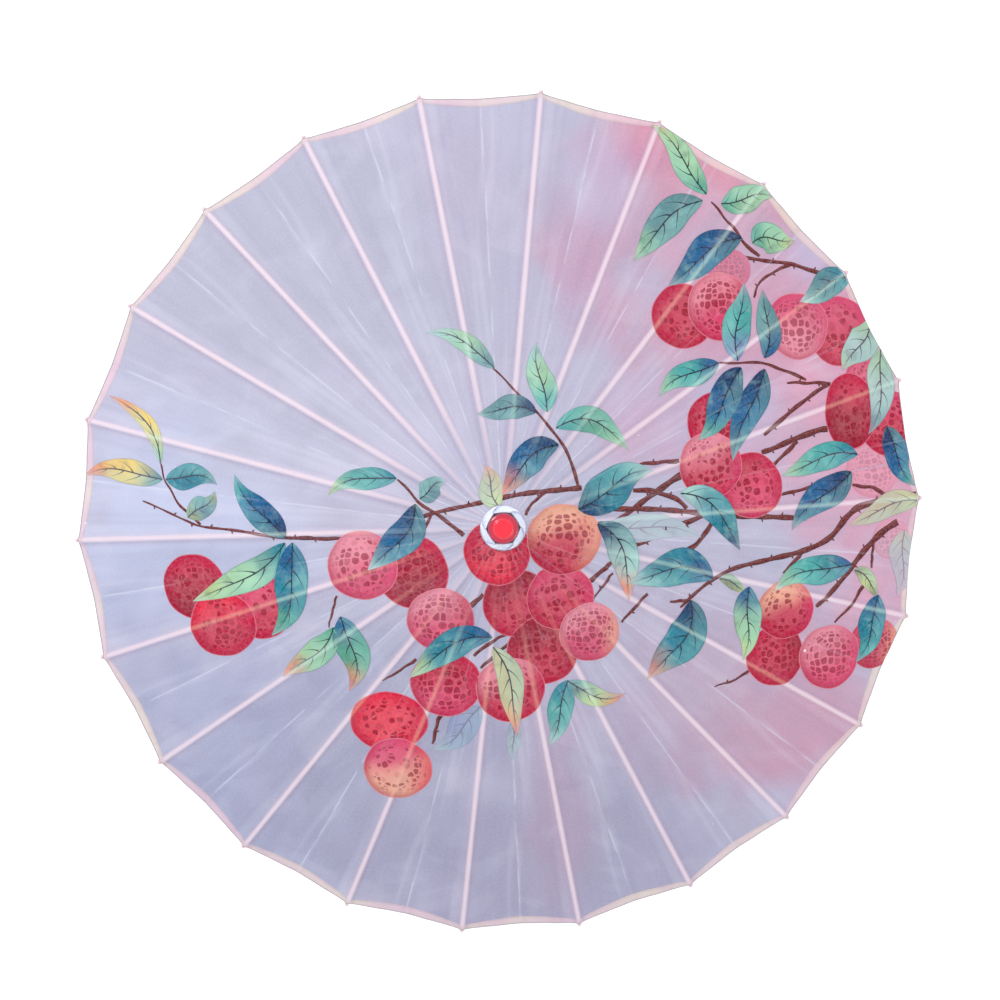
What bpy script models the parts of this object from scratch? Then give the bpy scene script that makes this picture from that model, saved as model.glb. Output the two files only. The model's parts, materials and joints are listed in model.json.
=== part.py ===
"""Craft parasol: a printed cloth canopy on folding bamboo ribs, with a sliding runner on a straight pole.

Metres, +Z up. The origin is the middle of the grip's bottom face, and rib 1 points along +X.
"""
import math

import bmesh
import bpy
from mathutils import Matrix, Vector

# Driving sizes
RIB_COUNT = 22
CANOPY_RADIUS = 0.415          # pole axis to a rib's tip, open
RIB_SLOPE = math.radians(16)   # the open rib's fall below the horizontal
HINGE_HEIGHT = 0.520           # the ribs' hinge above the grip's bottom
HINGE_RADIUS = 0.014           # both rings of hinges, from the pole axis
STRETCHER_LENGTH = 0.190       # between the stretcher's two pivots

POLE_RADIUS = 0.006
GRIP_LENGTH = 0.095
GRIP_RADIUS = 0.0125
FERRULE_LENGTH = 0.008
FERRULE_RADIUS = 0.0108

BLADE_WIDTH = 0.0015           # the whittled ends of ribs and stretchers
SLOT_WIDTH = 0.0021            # the slots that the blades turn in
RIB_DEPTH = 0.0036
RIB_ROOT_WIDTH = 0.0034
RIB_WIDTH = 0.0048
RIB_BLADE_LENGTH = 0.025
KNOB_LENGTH = 0.003
KNOB_RADIUS = 0.0023
STRETCHER_DEPTH = 0.0032
STRETCHER_WIDTH = 0.0030
STRETCHER_HEEL_BLADE = 0.030   # thin length at the runner's end
STRETCHER_TOP_BLADE = 0.044    # thin length at the rib's end

THREAD_RADIUS = 0.00035
THREAD_HOLE_RADIUS = 0.00065
RIM_CORD_RADIUS = 0.0005

HEAD_RADIUS = 0.018
HEAD_DEPTH = 0.012             # below the ribs' hinge
RUNNER_RADIUS = 0.0185
RUNNER_CROWN_HALF = 0.0065
SLEEVE_RADIUS = 0.011
SLEEVE_DROP = 0.036            # the runner's bottom below its pivots

CLOTH_THICKNESS = 0.0006
HEM_INSET = 0.005              # the hem's edge, back from the rib's tip
SHOULDER_RADIUS = 0.030        # where the cloth reaches the slope of the ribs

COLLAR_RADIUS = 0.0214
COLLAR_HEIGHT = 0.0062
CAP_RADIUS = 0.0145
CAP_HEIGHT = 0.0115
BUTTON_RADIUS = 0.0086

CATCH_WIDTH = 0.0016
CATCH_LENGTH = 0.0515          # the pin to the shoulder
CATCH_REACH = 0.0041           # how far the shoulder stands out of the pole
PIN_RADIUS = 0.0008

GAP = 0.0003                   # between pieces that touch
GROOVE_HALF = 0.0008           # half the height of the thread grooves
GROOVE_FLOOR = HINGE_RADIUS - 0.0009

# Worked out from the driving sizes
RIB_STEP = 2 * math.pi / RIB_COUNT
RIB_LENGTH = (CANOPY_RADIUS - HINGE_RADIUS) / math.cos(RIB_SLOPE)
RUNNER_HEIGHT = HINGE_HEIGHT - 2 * STRETCHER_LENGTH * math.sin(RIB_SLOPE)
BORE_RADIUS = POLE_RADIUS + GAP
HEEL_FLOOR = HINGE_RADIUS - RIB_DEPTH / 2 - 0.0006
HEAD_TOP = HINGE_HEIGHT + RIB_DEPTH / 2 + 0.0005
CLOTH_LIFT = RIB_DEPTH / 2 + GAP
CLOTH_TOP = HEAD_TOP + GAP + CLOTH_THICKNESS
COLLAR_BASE = CLOTH_TOP + GAP
COLLAR_SEAT = COLLAR_BASE + 0.0026
CAP_BASE = COLLAR_SEAT + GAP
POLE_TOP = CAP_BASE + 0.6 * CAP_HEIGHT
CATCH_TOP = RUNNER_HEIGHT - SLEEVE_DROP - GAP
CATCH_PIN_HEIGHT = CATCH_TOP - CATCH_LENGTH


def clearScene():
    """Remove every object that the file opens with."""
    for item in list(bpy.data.objects):
        bpy.data.objects.remove(item, do_unlink=True)


def makeMaterial(name, colour, roughness, metallic=0.0):
    """A Principled material of one colour."""
    material = bpy.data.materials.new(name)
    material.use_nodes = True
    shader = material.node_tree.nodes["Principled BSDF"]
    shader.inputs["Base Color"].default_value = (*colour, 1.0)
    shader.inputs["Roughness"].default_value = roughness
    shader.inputs["Metallic"].default_value = metallic
    material.diffuse_color = (*colour, 1.0)
    return material


def addObject(name, mesh, material, smooth=False):
    """Put a mesh into the scene as a named object with its own material."""
    mesh.name = name
    mesh.materials.clear()
    mesh.materials.append(material)
    for face in mesh.polygons:
        face.use_smooth = smooth
    item = bpy.data.objects.new(name, mesh)
    bpy.context.scene.collection.objects.link(item)
    return item


def meshFrom(points, faces):
    """A mesh with its faces turned outwards."""
    mesh = bpy.data.meshes.new("shape")
    mesh.from_pydata(points, [], faces)
    shape = bmesh.new()
    shape.from_mesh(mesh)
    bmesh.ops.recalc_face_normals(shape, faces=shape.faces)
    shape.to_mesh(mesh)
    shape.free()
    return mesh


def lathe(profile, sides):
    """A closed (radius, height) profile turned about Z; a point at radius 0 becomes a pole."""
    points = []
    rings = []
    for radius, height in profile:
        if radius == 0:
            rings.append([len(points)] * sides)
            points.append((0, 0, height))
            continue
        rings.append([len(points) + side for side in range(sides)])
        for side in range(sides):
            angle = 2 * math.pi * side / sides
            points.append((radius * math.cos(angle), radius * math.sin(angle), height))
    faces = []
    for index, ring in enumerate(rings):
        upper = rings[(index + 1) % len(rings)]
        for side in range(sides):
            after = (side + 1) % sides
            corners = [ring[side], ring[after], upper[after], upper[side]]
            face = list(dict.fromkeys(corners))
            if len(face) > 2:
                faces.append(face)
    return meshFrom(points, faces)


def prism(outline, width):
    """An (x, z) outline made solid along Y, to half the width on each side."""
    count = len(outline)
    points = [(x, -width / 2, z) for x, z in outline]
    points += [(x, width / 2, z) for x, z in outline]
    faces = [list(range(count)), list(range(count, 2 * count))]
    for index in range(count):
        after = (index + 1) % count
        faces.append([index, after, count + after, count + index])
    return meshFrom(points, faces)


def box(low, high):
    """A box between two corners."""
    outline = [(low[0], low[2]), (high[0], low[2]), (high[0], high[2]), (low[0], high[2])]
    mesh = prism(outline, high[1] - low[1])
    mesh.transform(Matrix.Translation((0, (low[1] + high[1]) / 2, 0)))
    return mesh


def crossBar(radius, length, x, z, sides=6):
    """A round bar along Y through (x, z)."""
    outline = []
    for side in range(sides):
        angle = 2 * math.pi * (side + 0.5) / sides
        outline.append((x + radius * math.cos(angle), z + radius * math.sin(angle)))
    return prism(outline, length)


def joined(meshes):
    """Several separate shells as one mesh."""
    shape = bmesh.new()
    for mesh in meshes:
        shape.from_mesh(mesh)
    result = bpy.data.meshes.new("shape")
    shape.to_mesh(result)
    shape.free()
    return result


def cut(mesh, cutters):
    """The mesh less each cutter in turn."""
    body = bpy.data.objects.new("body", mesh)
    bpy.context.scene.collection.objects.link(body)
    tools = []
    for index, cutter in enumerate(cutters):
        tool = bpy.data.objects.new("cutter", cutter)
        tool.hide_render = True
        tool.display_type = "WIRE"
        bpy.context.scene.collection.objects.link(tool)
        tools.append(tool)
        step = body.modifiers.new(f"cut {index}", "BOOLEAN")
        step.operation = "DIFFERENCE"
        step.solver = "EXACT"
        step.object = tool
    shaped = body.evaluated_get(bpy.context.evaluated_depsgraph_get())
    result = bpy.data.meshes.new_from_object(shaped)
    for item in [body, *tools]:
        bpy.data.objects.remove(item, do_unlink=True)
    return result


def radialSlots(inner, outer, low, high):
    """One box for each rib's slot, from an inner to an outer radius."""
    slots = []
    for index in range(RIB_COUNT):
        slot = box((inner, -SLOT_WIDTH / 2, low), (outer, SLOT_WIDTH / 2, high))
        slot.transform(Matrix.Rotation(index * RIB_STEP, 4, "Z"))
        slots.append(slot)
    return joined(slots)


def strip(stations, depth):
    """A bar along X: each station is (x, width, depth share); its ends are flat."""
    points = []
    for x, width, share in stations:
        half = depth * share / 2
        points += [(x, -width / 2, -half), (x, width / 2, -half)]
        points += [(x, width / 2, half), (x, -width / 2, half)]
    faces = [[0, 1, 2, 3], [len(points) - 4, len(points) - 3, len(points) - 2, len(points) - 1]]
    for index in range(len(stations) - 1):
        base = 4 * index
        for side in range(4):
            after = (side + 1) % 4
            faces.append([base + side, base + after, base + 4 + after, base + 4 + side])
    return meshFrom(points, faces)


def ringPath(radius, height, straight):
    """A level ring that runs straight for a short way as it crosses each rib."""
    path = []
    for index in range(RIB_COUNT):
        angle = index * RIB_STEP
        middle = Vector((radius * math.cos(angle), radius * math.sin(angle), height))
        along = Vector((-math.sin(angle), math.cos(angle), 0))
        ends = [-straight, straight] if straight else [0]
        path += [middle + along * end for end in ends]
    return path


def thread(path, radius, sides=5):
    """A closed level ring of thread, mitred at each bend."""
    points = []
    count = len(path)
    for index, middle in enumerate(path):
        before = (middle - path[index - 1]).normalized()
        after = (path[(index + 1) % count] - middle).normalized()
        along = (before + after).normalized()
        outward = Vector((along.y, -along.x, 0)) / max(before.dot(along), 0.1)
        for side in range(sides):
            angle = 2 * math.pi * (side + 0.5) / sides
            offset = outward * radius * math.cos(angle)
            points.append(middle + offset + Vector((0, 0, radius * math.sin(angle))))
    faces = []
    for index in range(count):
        base = index * sides
        following = (index + 1) % count * sides
        for side in range(sides):
            after = (side + 1) % sides
            faces.append([base + side, base + after, following + after, following + side])
    return meshFrom(points, faces)


def slopePoint(along, lift):
    """(radius, height) of a point on the open rib: a distance from its hinge, and a lift off its middle."""
    radius = HINGE_RADIUS + along * math.cos(RIB_SLOPE) + lift * math.sin(RIB_SLOPE)
    height = HINGE_HEIGHT - along * math.sin(RIB_SLOPE) + lift * math.cos(RIB_SLOPE)
    return radius, height


def makePole(material):
    """The stick, with a slot right through it for the catch and a hole for the catch's pin."""
    low = GAP + 0.012
    mesh = lathe([(0, low), (POLE_RADIUS, low), (POLE_RADIUS, POLE_TOP), (0, POLE_TOP)], 32)
    slotHalf = CATCH_WIDTH / 2 + GAP
    reach = 2 * POLE_RADIUS
    slotLow = (-reach, -slotHalf, CATCH_PIN_HEIGHT - 0.006)
    slotHigh = (reach, slotHalf, CATCH_TOP + 0.001)
    hole = crossBar(PIN_RADIUS + GAP, 2 * reach, 0, CATCH_PIN_HEIGHT)
    mesh = cut(mesh, [box(slotLow, slotHigh), hole])
    return addObject("pole", mesh, material)


def makeGrip(material):
    """The turned handle, with a blind hole for the pole."""
    top = GRIP_LENGTH
    radius = GRIP_RADIUS
    neck = FERRULE_RADIUS - 0.0018
    profile = [(0, 0), (radius - 0.0035, 0), (radius - 0.001, 0.0012), (radius, 0.005)]
    profile += [(radius, 0.012), (radius - 0.0022, 0.016), (radius - 0.0026, 0.020)]
    profile += [(radius - 0.0004, 0.034), (radius, 0.048), (radius - 0.0012, top - 0.022)]
    profile += [(neck, top - 0.010), (neck, top), (BORE_RADIUS, top)]
    profile += [(BORE_RADIUS, 0.012), (0, 0.012)]
    return addObject("grip", lathe(profile, 32), material, True)


def makeFerrule(material):
    """The metal ring that closes the grip's upper end."""
    low = GRIP_LENGTH + GAP
    high = low + FERRULE_LENGTH
    outer = FERRULE_RADIUS
    profile = [(BORE_RADIUS, low), (outer - 0.001, low), (outer, low + 0.0008)]
    profile += [(outer, low + 0.0022), (outer - 0.0014, low + 0.003), (outer - 0.0018, high - 0.001)]
    profile += [(outer - 0.0026, high), (BORE_RADIUS, high)]
    return addObject("grip_ferrule", lathe(profile, 32), material, True)


def makeHead(material):
    """The slotted block at the pole's top, with a groove for the ribs' thread."""
    low = HINGE_HEIGHT - HEAD_DEPTH
    grooveLow = HINGE_HEIGHT - GROOVE_HALF
    grooveHigh = HINGE_HEIGHT + GROOVE_HALF
    neck = POLE_RADIUS + 0.003
    profile = [(BORE_RADIUS, low - 0.006), (neck, low - 0.006), (neck + 0.001, low - 0.001)]
    profile += [(HEEL_FLOOR + 0.0005, low), (HEAD_RADIUS, low + 0.004), (HEAD_RADIUS, grooveLow)]
    profile += [(GROOVE_FLOOR, grooveLow), (GROOVE_FLOOR, grooveHigh), (HEAD_RADIUS, grooveHigh)]
    profile += [(HEAD_RADIUS, HEAD_TOP - 0.0006), (HEAD_RADIUS - 0.0006, HEAD_TOP)]
    profile += [(BORE_RADIUS, HEAD_TOP)]
    slots = radialSlots(HEEL_FLOOR, HEAD_RADIUS + 0.002, low - 0.002, HEAD_TOP + 0.002)
    mesh = cut(lathe(profile, 2 * RIB_COUNT), [slots])
    return addObject("head_block", mesh, material)


def makeRunner(material):
    """The sliding block: a slotted crown with a groove for the thread, over a plain sleeve."""
    low = RUNNER_HEIGHT - SLEEVE_DROP
    crownLow = RUNNER_HEIGHT - RUNNER_CROWN_HALF
    crownHigh = RUNNER_HEIGHT + RUNNER_CROWN_HALF
    grooveLow = RUNNER_HEIGHT - GROOVE_HALF
    grooveHigh = RUNNER_HEIGHT + GROOVE_HALF
    sleeve = SLEEVE_RADIUS
    profile = [(BORE_RADIUS, low), (sleeve - 0.0006, low), (sleeve, low + 0.0008)]
    profile += [(sleeve, low + 0.005), (sleeve - 0.001, low + 0.006), (sleeve, low + 0.007)]
    profile += [(sleeve, crownLow), (RUNNER_RADIUS - 0.001, crownLow), (RUNNER_RADIUS, crownLow + 0.001)]
    profile += [(RUNNER_RADIUS, grooveLow), (GROOVE_FLOOR, grooveLow), (GROOVE_FLOOR, grooveHigh)]
    profile += [(RUNNER_RADIUS, grooveHigh), (RUNNER_RADIUS, crownHigh - 0.001)]
    profile += [(RUNNER_RADIUS - 0.001, crownHigh), (BORE_RADIUS, crownHigh)]
    slots = radialSlots(HEEL_FLOOR, RUNNER_RADIUS + 0.002, crownLow - 0.002, crownHigh + 0.002)
    mesh = cut(lathe(profile, 2 * RIB_COUNT), [slots])
    mesh.transform(Matrix.Translation((0, 0, -RUNNER_HEIGHT)))
    item = addObject("runner", mesh, material)
    item.location = (0, 0, RUNNER_HEIGHT)
    return item


def ribMesh():
    """A rib along X from its hinge, slotted for the stretcher and drilled for both threads."""
    heel = RIB_DEPTH / 2
    slotHigh = STRETCHER_LENGTH + STRETCHER_TOP_BLADE
    wide = RIB_WIDTH
    knob = RIB_LENGTH - KNOB_LENGTH
    knobShare = 2 * KNOB_RADIUS / RIB_DEPTH
    stations = [(-heel, BLADE_WIDTH, 0.5), (-0.1 * heel, BLADE_WIDTH, 1)]
    stations += [(RIB_BLADE_LENGTH, BLADE_WIDTH, 1), (RIB_BLADE_LENGTH + 0.004, RIB_ROOT_WIDTH, 1)]
    stations += [(STRETCHER_LENGTH - 0.035, wide, 1)]
    stations += [(knob - 0.004, wide - 0.0010, 1), (knob, wide - 0.0014, 0.8)]
    stations.append((knob + 0.0011, 2 * KNOB_RADIUS, knobShare))
    stations.append((RIB_LENGTH - 0.0009, 2 * KNOB_RADIUS, knobShare))
    stations += [(RIB_LENGTH, 1.1 * KNOB_RADIUS, 0.55 * knobShare)]
    slotLow = (STRETCHER_LENGTH - 0.0085, -SLOT_WIDTH / 2, -RIB_DEPTH)
    slot = box(slotLow, (slotHigh, SLOT_WIDTH / 2, RIB_DEPTH))
    holes = [crossBar(THREAD_HOLE_RADIUS, 2 * wide, at, 0) for at in (0, STRETCHER_LENGTH)]
    return cut(strip(stations, RIB_DEPTH), [slot, *holes])


def stretcherMesh():
    """A stretcher along X from the rib's pivot to the runner's, thin at both ends and drilled there."""
    end = STRETCHER_LENGTH
    heel = STRETCHER_DEPTH / 2
    stations = [(-heel, BLADE_WIDTH, 0.5), (-0.1 * heel, BLADE_WIDTH, 1)]
    stations += [(STRETCHER_TOP_BLADE - 0.003, BLADE_WIDTH, 1), (STRETCHER_TOP_BLADE, STRETCHER_WIDTH, 1)]
    stations += [(end - STRETCHER_HEEL_BLADE - 0.003, STRETCHER_WIDTH, 1)]
    stations += [(end - STRETCHER_HEEL_BLADE, BLADE_WIDTH, 1), (end + 0.1 * heel, BLADE_WIDTH, 1)]
    stations += [(end + heel, BLADE_WIDTH, 0.5)]
    holes = [crossBar(THREAD_HOLE_RADIUS, 2 * STRETCHER_WIDTH, at, 0) for at in (0, end)]
    return cut(strip(stations, STRETCHER_DEPTH), holes)


def makeRibs(material):
    """All the ribs, each with its origin on its hinge in the head block."""
    shape = ribMesh()
    for index in range(RIB_COUNT):
        angle = index * RIB_STEP
        item = addObject(f"rib_{index + 1:02d}", shape.copy(), material)
        item.location = (HINGE_RADIUS * math.cos(angle), HINGE_RADIUS * math.sin(angle), HINGE_HEIGHT)
        item.rotation_euler = (0, RIB_SLOPE, angle)
    bpy.data.meshes.remove(shape)


def makeStretchers(material):
    """All the stretchers, each with its origin on its pivot in the rib."""
    shape = stretcherMesh()
    radius, height = slopePoint(STRETCHER_LENGTH, 0)
    for index in range(RIB_COUNT):
        angle = index * RIB_STEP
        item = addObject(f"stretcher_{index + 1:02d}", shape.copy(), material)
        item.location = (radius * math.cos(angle), radius * math.sin(angle), height)
        item.rotation_euler = (0, math.pi - RIB_SLOPE, angle)
    bpy.data.meshes.remove(shape)


def makeThreads(material):
    """The three rings of thread that the ribs and stretchers hinge on."""
    radius, height = slopePoint(STRETCHER_LENGTH, 0)
    short = BLADE_WIDTH
    headRing = ringPath(HINGE_RADIUS, HINGE_HEIGHT, short)
    runnerRing = ringPath(HINGE_RADIUS, RUNNER_HEIGHT, short)
    addObject("head_thread", thread(headRing, THREAD_RADIUS), material, True)
    addObject("runner_thread", thread(runnerRing, THREAD_RADIUS), material, True)
    addObject("pivot_thread", thread(ringPath(radius, height, RIB_WIDTH), THREAD_RADIUS), material, True)


def makeRimCord(material):
    """The cord around the hem's edge, just inside the knobs and over the ribs."""
    radius, height = slopePoint(RIB_LENGTH - HEM_INSET + 0.001, CLOTH_LIFT + RIM_CORD_RADIUS)
    return addObject("rim_cord", thread(ringPath(radius, height, 0), RIM_CORD_RADIUS), material, True)


def makeCatch(material):
    """The tongue that holds the runner up, with its origin on its pin."""
    inside = POLE_RADIUS - 0.0006
    nose = POLE_RADIUS + CATCH_REACH
    outline = [(-0.0016, -0.004), (0.0016, -0.004), (0.0026, 0.0), (inside - 0.0012, 0.016)]
    outline += [(nose, CATCH_LENGTH - 0.0035), (nose, CATCH_LENGTH), (0.0012, CATCH_LENGTH), (-0.0022, 0.004)]
    hole = crossBar(PIN_RADIUS + GAP, 2 * CATCH_WIDTH, 0, 0)
    item = addObject("catch", cut(prism(outline, CATCH_WIDTH), [hole]), material)
    item.location = (0, 0, CATCH_PIN_HEIGHT)
    return item


def makeCatchPin(material):
    """The pin across the pole that the catch turns on."""
    mesh = crossBar(PIN_RADIUS, 2 * POLE_RADIUS - 0.0006, 0, CATCH_PIN_HEIGHT)
    return addObject("catch_pin", mesh, material)


def makeCanopy(material):
    """The cloth: flat on the head block, then down to the ribs' slope and straight out to the hem."""
    thick = CLOTH_THICKNESS
    flat = HEAD_TOP + GAP
    edge = RIB_LENGTH - HEM_INSET
    shoulder = (SHOULDER_RADIUS - HINGE_RADIUS) / math.cos(RIB_SLOPE)
    under = [(BORE_RADIUS + 0.0005, flat), (HEAD_RADIUS + 0.0006, flat)]
    under += [slopePoint(shoulder, CLOTH_LIFT), slopePoint(edge, CLOTH_LIFT)]
    over = [slopePoint(edge, CLOTH_LIFT + thick), slopePoint(shoulder, CLOTH_LIFT + thick)]
    over += [(HEAD_RADIUS + 0.0009, flat + thick), (BORE_RADIUS + 0.0005, flat + thick)]
    return addObject("canopy", lathe(under + over, RIB_COUNT), material)


def makeCollar(material):
    """The folded cloth ring that covers the canopy's centre and stands up around the cap."""
    outer = COLLAR_RADIUS
    base = COLLAR_BASE
    top = base + COLLAR_HEIGHT
    profile = [(BORE_RADIUS, base), (HEAD_RADIUS + 0.0004, base), (outer - 0.0004, base - 0.0008)]
    profile += [(outer, base + 0.0008), (outer - 0.0018, top - 0.0014), (outer - 0.0040, top)]
    profile += [(CAP_RADIUS + 0.0012, top - 0.0004), (CAP_RADIUS + GAP, top - 0.0016)]
    profile += [(CAP_RADIUS + GAP, COLLAR_SEAT), (BORE_RADIUS, COLLAR_SEAT)]
    return addObject("collar", lathe(profile, 2 * RIB_COUNT), material, True)


def makeCap(material):
    """The red cap on the pole's top, with a raised disc."""
    base = CAP_BASE
    top = base + CAP_HEIGHT
    outer = CAP_RADIUS
    disc = BUTTON_RADIUS
    profile = [(BORE_RADIUS, base), (outer - 0.0006, base), (outer, base + 0.0008)]
    profile += [(outer, top - 0.0062), (outer - 0.0009, top - 0.0040), (outer - 0.0027, top - 0.0028)]
    profile += [(disc + 0.0004, top - 0.0024), (disc, top - 0.0010), (disc - 0.0010, top - 0.0002)]
    profile += [(0.45 * disc, top), (0, top), (0, POLE_TOP + GAP), (BORE_RADIUS, POLE_TOP + GAP)]
    return addObject("cap", lathe(profile, 32), material, True)


def build():
    """Make every piece."""
    clearScene()
    stick = makeMaterial("stick_wood", (0.42, 0.23, 0.11), 0.45)
    turned = makeMaterial("turned_wood", (0.30, 0.13, 0.06), 0.38)
    block = makeMaterial("block_wood", (0.55, 0.36, 0.19), 0.55)
    bamboo = makeMaterial("bamboo", (0.70, 0.53, 0.32), 0.5)
    cotton = makeMaterial("cotton_thread", (0.80, 0.74, 0.66), 0.8)
    steel = makeMaterial("spring_steel", (0.55, 0.56, 0.58), 0.35, 1.0)
    brass = makeMaterial("ferrule_metal", (0.75, 0.58, 0.30), 0.35, 1.0)
    cloth = makeMaterial("printed_cloth", (0.62, 0.60, 0.74), 0.75)
    white = makeMaterial("collar_cloth", (0.82, 0.84, 0.90), 0.8)
    red = makeMaterial("red_cap", (0.75, 0.03, 0.06), 0.2)
    makePole(stick)
    makeGrip(turned)
    makeFerrule(brass)
    makeHead(block)
    makeRunner(block)
    makeRibs(bamboo)
    makeStretchers(bamboo)
    makeThreads(cotton)
    makeRimCord(cotton)
    makeCatch(steel)
    makeCatchPin(steel)
    makeCanopy(cloth)
    makeCollar(white)
    makeCap(red)


build()
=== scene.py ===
import json
import math
import bmesh
import bpy
import numpy as np
from mathutils import Matrix, Vector


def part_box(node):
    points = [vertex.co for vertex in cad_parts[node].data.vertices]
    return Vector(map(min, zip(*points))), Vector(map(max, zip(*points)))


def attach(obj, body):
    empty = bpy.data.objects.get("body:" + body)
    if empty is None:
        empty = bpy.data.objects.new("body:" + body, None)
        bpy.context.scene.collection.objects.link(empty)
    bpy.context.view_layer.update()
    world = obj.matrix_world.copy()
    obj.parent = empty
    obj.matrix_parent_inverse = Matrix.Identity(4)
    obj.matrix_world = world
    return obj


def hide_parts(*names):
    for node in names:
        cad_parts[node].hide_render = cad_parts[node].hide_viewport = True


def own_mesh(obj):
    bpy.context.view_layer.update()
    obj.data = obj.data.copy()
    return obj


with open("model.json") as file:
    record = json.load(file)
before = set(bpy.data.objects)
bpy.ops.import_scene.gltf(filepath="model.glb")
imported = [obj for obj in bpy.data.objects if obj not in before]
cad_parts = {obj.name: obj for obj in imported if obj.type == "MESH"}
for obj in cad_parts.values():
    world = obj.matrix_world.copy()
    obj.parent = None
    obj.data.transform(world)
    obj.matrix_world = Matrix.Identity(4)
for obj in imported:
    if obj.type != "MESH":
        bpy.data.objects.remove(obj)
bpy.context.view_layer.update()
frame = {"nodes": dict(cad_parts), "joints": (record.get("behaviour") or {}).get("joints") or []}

print("stage: frame loaded")

# what every piece of the canopy shares, in metres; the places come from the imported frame
ribHinge = next(j for j in frame["joints"] if j["name"] == "rib_hinge_01")["pos_m"]
stretcherHinge = next(j for j in frame["joints"] if j["name"] == "stretcher_hinge_01")["pos_m"]
umbrella = {
    "ribs": 22, "hingeRadius": ribHinge[0], "hingeHeight": ribHinge[2], "slope": math.radians(16),
    "hemReach": 0.4108, "clothLift": 0.0021, "clothThick": 0.0005, "shoulder": 0.0186,
}
ribStep = 2 * math.pi / umbrella["ribs"]
halfStep = ribStep / 2
slopeTan = math.tan(umbrella["slope"])
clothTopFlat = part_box("canopy")[1][2]


def soft(low, high, value):
    # an S-shaped step: 0 below low, 1 above high
    t = np.clip((value - low) / (high - low), 0, 1)
    return t * t * (3 - 2 * t)


def ripple(x, y, seed):
    # a smooth uneven field from -1 to 1: a sum of five plane waves with their own directions
    total = 0
    for step in range(5):
        turn = seed * 1.7 + step * 2.4
        pitch = (1.0, 1.9, 2.7, 4.1, 5.3)[step]
        run = (x * math.cos(turn) + y * math.sin(turn)) * pitch
        total = total + np.sin(run + seed * step) / (1 + step * 0.6)
    return total / 2.6


def linear(colour):
    # screen colour to the shader's linear colour
    c = np.asarray(colour, float)
    return np.where(c < 0.04045, c / 12.92, ((c + 0.055) / 1.055) ** 2.4)


def mixed(a, b, share):
    return a + (b - a) * share[..., None]


def gridFaces(rows, columns, wrapRows=False, wrapColumns=False):
    # each face joins a grid point to its neighbours in the next row and column
    r, c = np.meshgrid(
        np.arange(rows if wrapRows else rows - 1), np.arange(columns if wrapColumns else columns - 1),
        indexing="ij")
    nextR, nextC = (r + 1) % rows, (c + 1) % columns
    corners = [r * columns + c, r * columns + nextC, nextR * columns + nextC, nextR * columns + c]
    return np.stack(corners, -1).reshape(-1, 4).tolist()


def crispEdge(mesh):
    # the open edge is marked sharp, so that the wall's thin side doesn't shade its face
    shape = bmesh.new()
    shape.from_mesh(mesh)
    for edge in shape.edges:
        edge.smooth = not edge.is_boundary
    shape.to_mesh(mesh)
    shape.free()


def addLayers(mesh, vectors, colours):
    # what the finishes read at each point: named vectors and named colours
    for key, value in (vectors or {}).items():
        layer = mesh.attributes.new(key, "FLOAT_VECTOR", "POINT")
        layer.data.foreach_set("vector", np.asarray(value, np.float32).reshape(-1, 3).ravel())
    for key, value in (colours or {}).items():
        layer = mesh.attributes.new(key, "FLOAT_COLOR", "POINT")
        layer.data.foreach_set("color", np.asarray(value, np.float32).reshape(-1, 4).ravel())


def makeMesh(name, points, faces, vectors=None, colours=None, recalc=True, merge=0.0, keepSharp=None):
    # points and faces become a mesh whose faces look outwards
    mesh = bpy.data.meshes.new(name)
    mesh.from_pydata(np.asarray(points).reshape(-1, 3).tolist(), [], faces)
    addLayers(mesh, vectors, colours)
    if merge or recalc:
        shape = bmesh.new()
        shape.from_mesh(mesh)
        if merge:
            bmesh.ops.remove_doubles(shape, verts=shape.verts, dist=merge)
            bmesh.ops.dissolve_degenerate(shape, edges=shape.edges, dist=merge)
        if recalc:
            bmesh.ops.recalc_face_normals(shape, faces=shape.faces)
        shape.to_mesh(mesh)
        shape.free()
    mesh.polygons.foreach_set("use_smooth", [True] * len(mesh.polygons))
    if keepSharp is not None:
        mesh.set_sharp_from_angle(angle=math.radians(keepSharp))
    mesh.update()
    return mesh


def numbered(stem, index):
    return f"{stem}_{index + 1:02d}"


def makePiece(name, mesh, materials, body, replaced=()):
    # a finished piece: its object stays at the origin and it rides on its body
    item = bpy.data.objects.new(name, mesh)
    bpy.context.scene.collection.objects.link(item)
    for material in materials:
        mesh.materials.append(material)
    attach(item, body)
    if replaced:
        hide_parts(*replaced)
    return item


def addThickness(item, thick):
    # a wall grown inwards from the surface, closed along its open edges
    wall = item.modifiers.new("thickness", "SOLIDIFY")
    wall.thickness = thick
    wall.offset = -1.0
    wall.use_rim = True


def turnedMesh(name, profile, sides, closed=True, keepSharp=30):
    # a (radius, height) profile turned about Z; closed joins its last point to its first
    profile = np.asarray(profile, float)
    angle = np.arange(sides) * 2 * math.pi / sides
    radius, height = profile[:, :1], profile[:, 1:]
    points = np.stack([radius * np.cos(angle), radius * np.sin(angle), height + 0 * angle], -1)
    faces = gridFaces(len(profile), sides, wrapRows=closed, wrapColumns=True)
    return makeMesh(name, points, faces, merge=1e-6, keepSharp=keepSharp)


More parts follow.
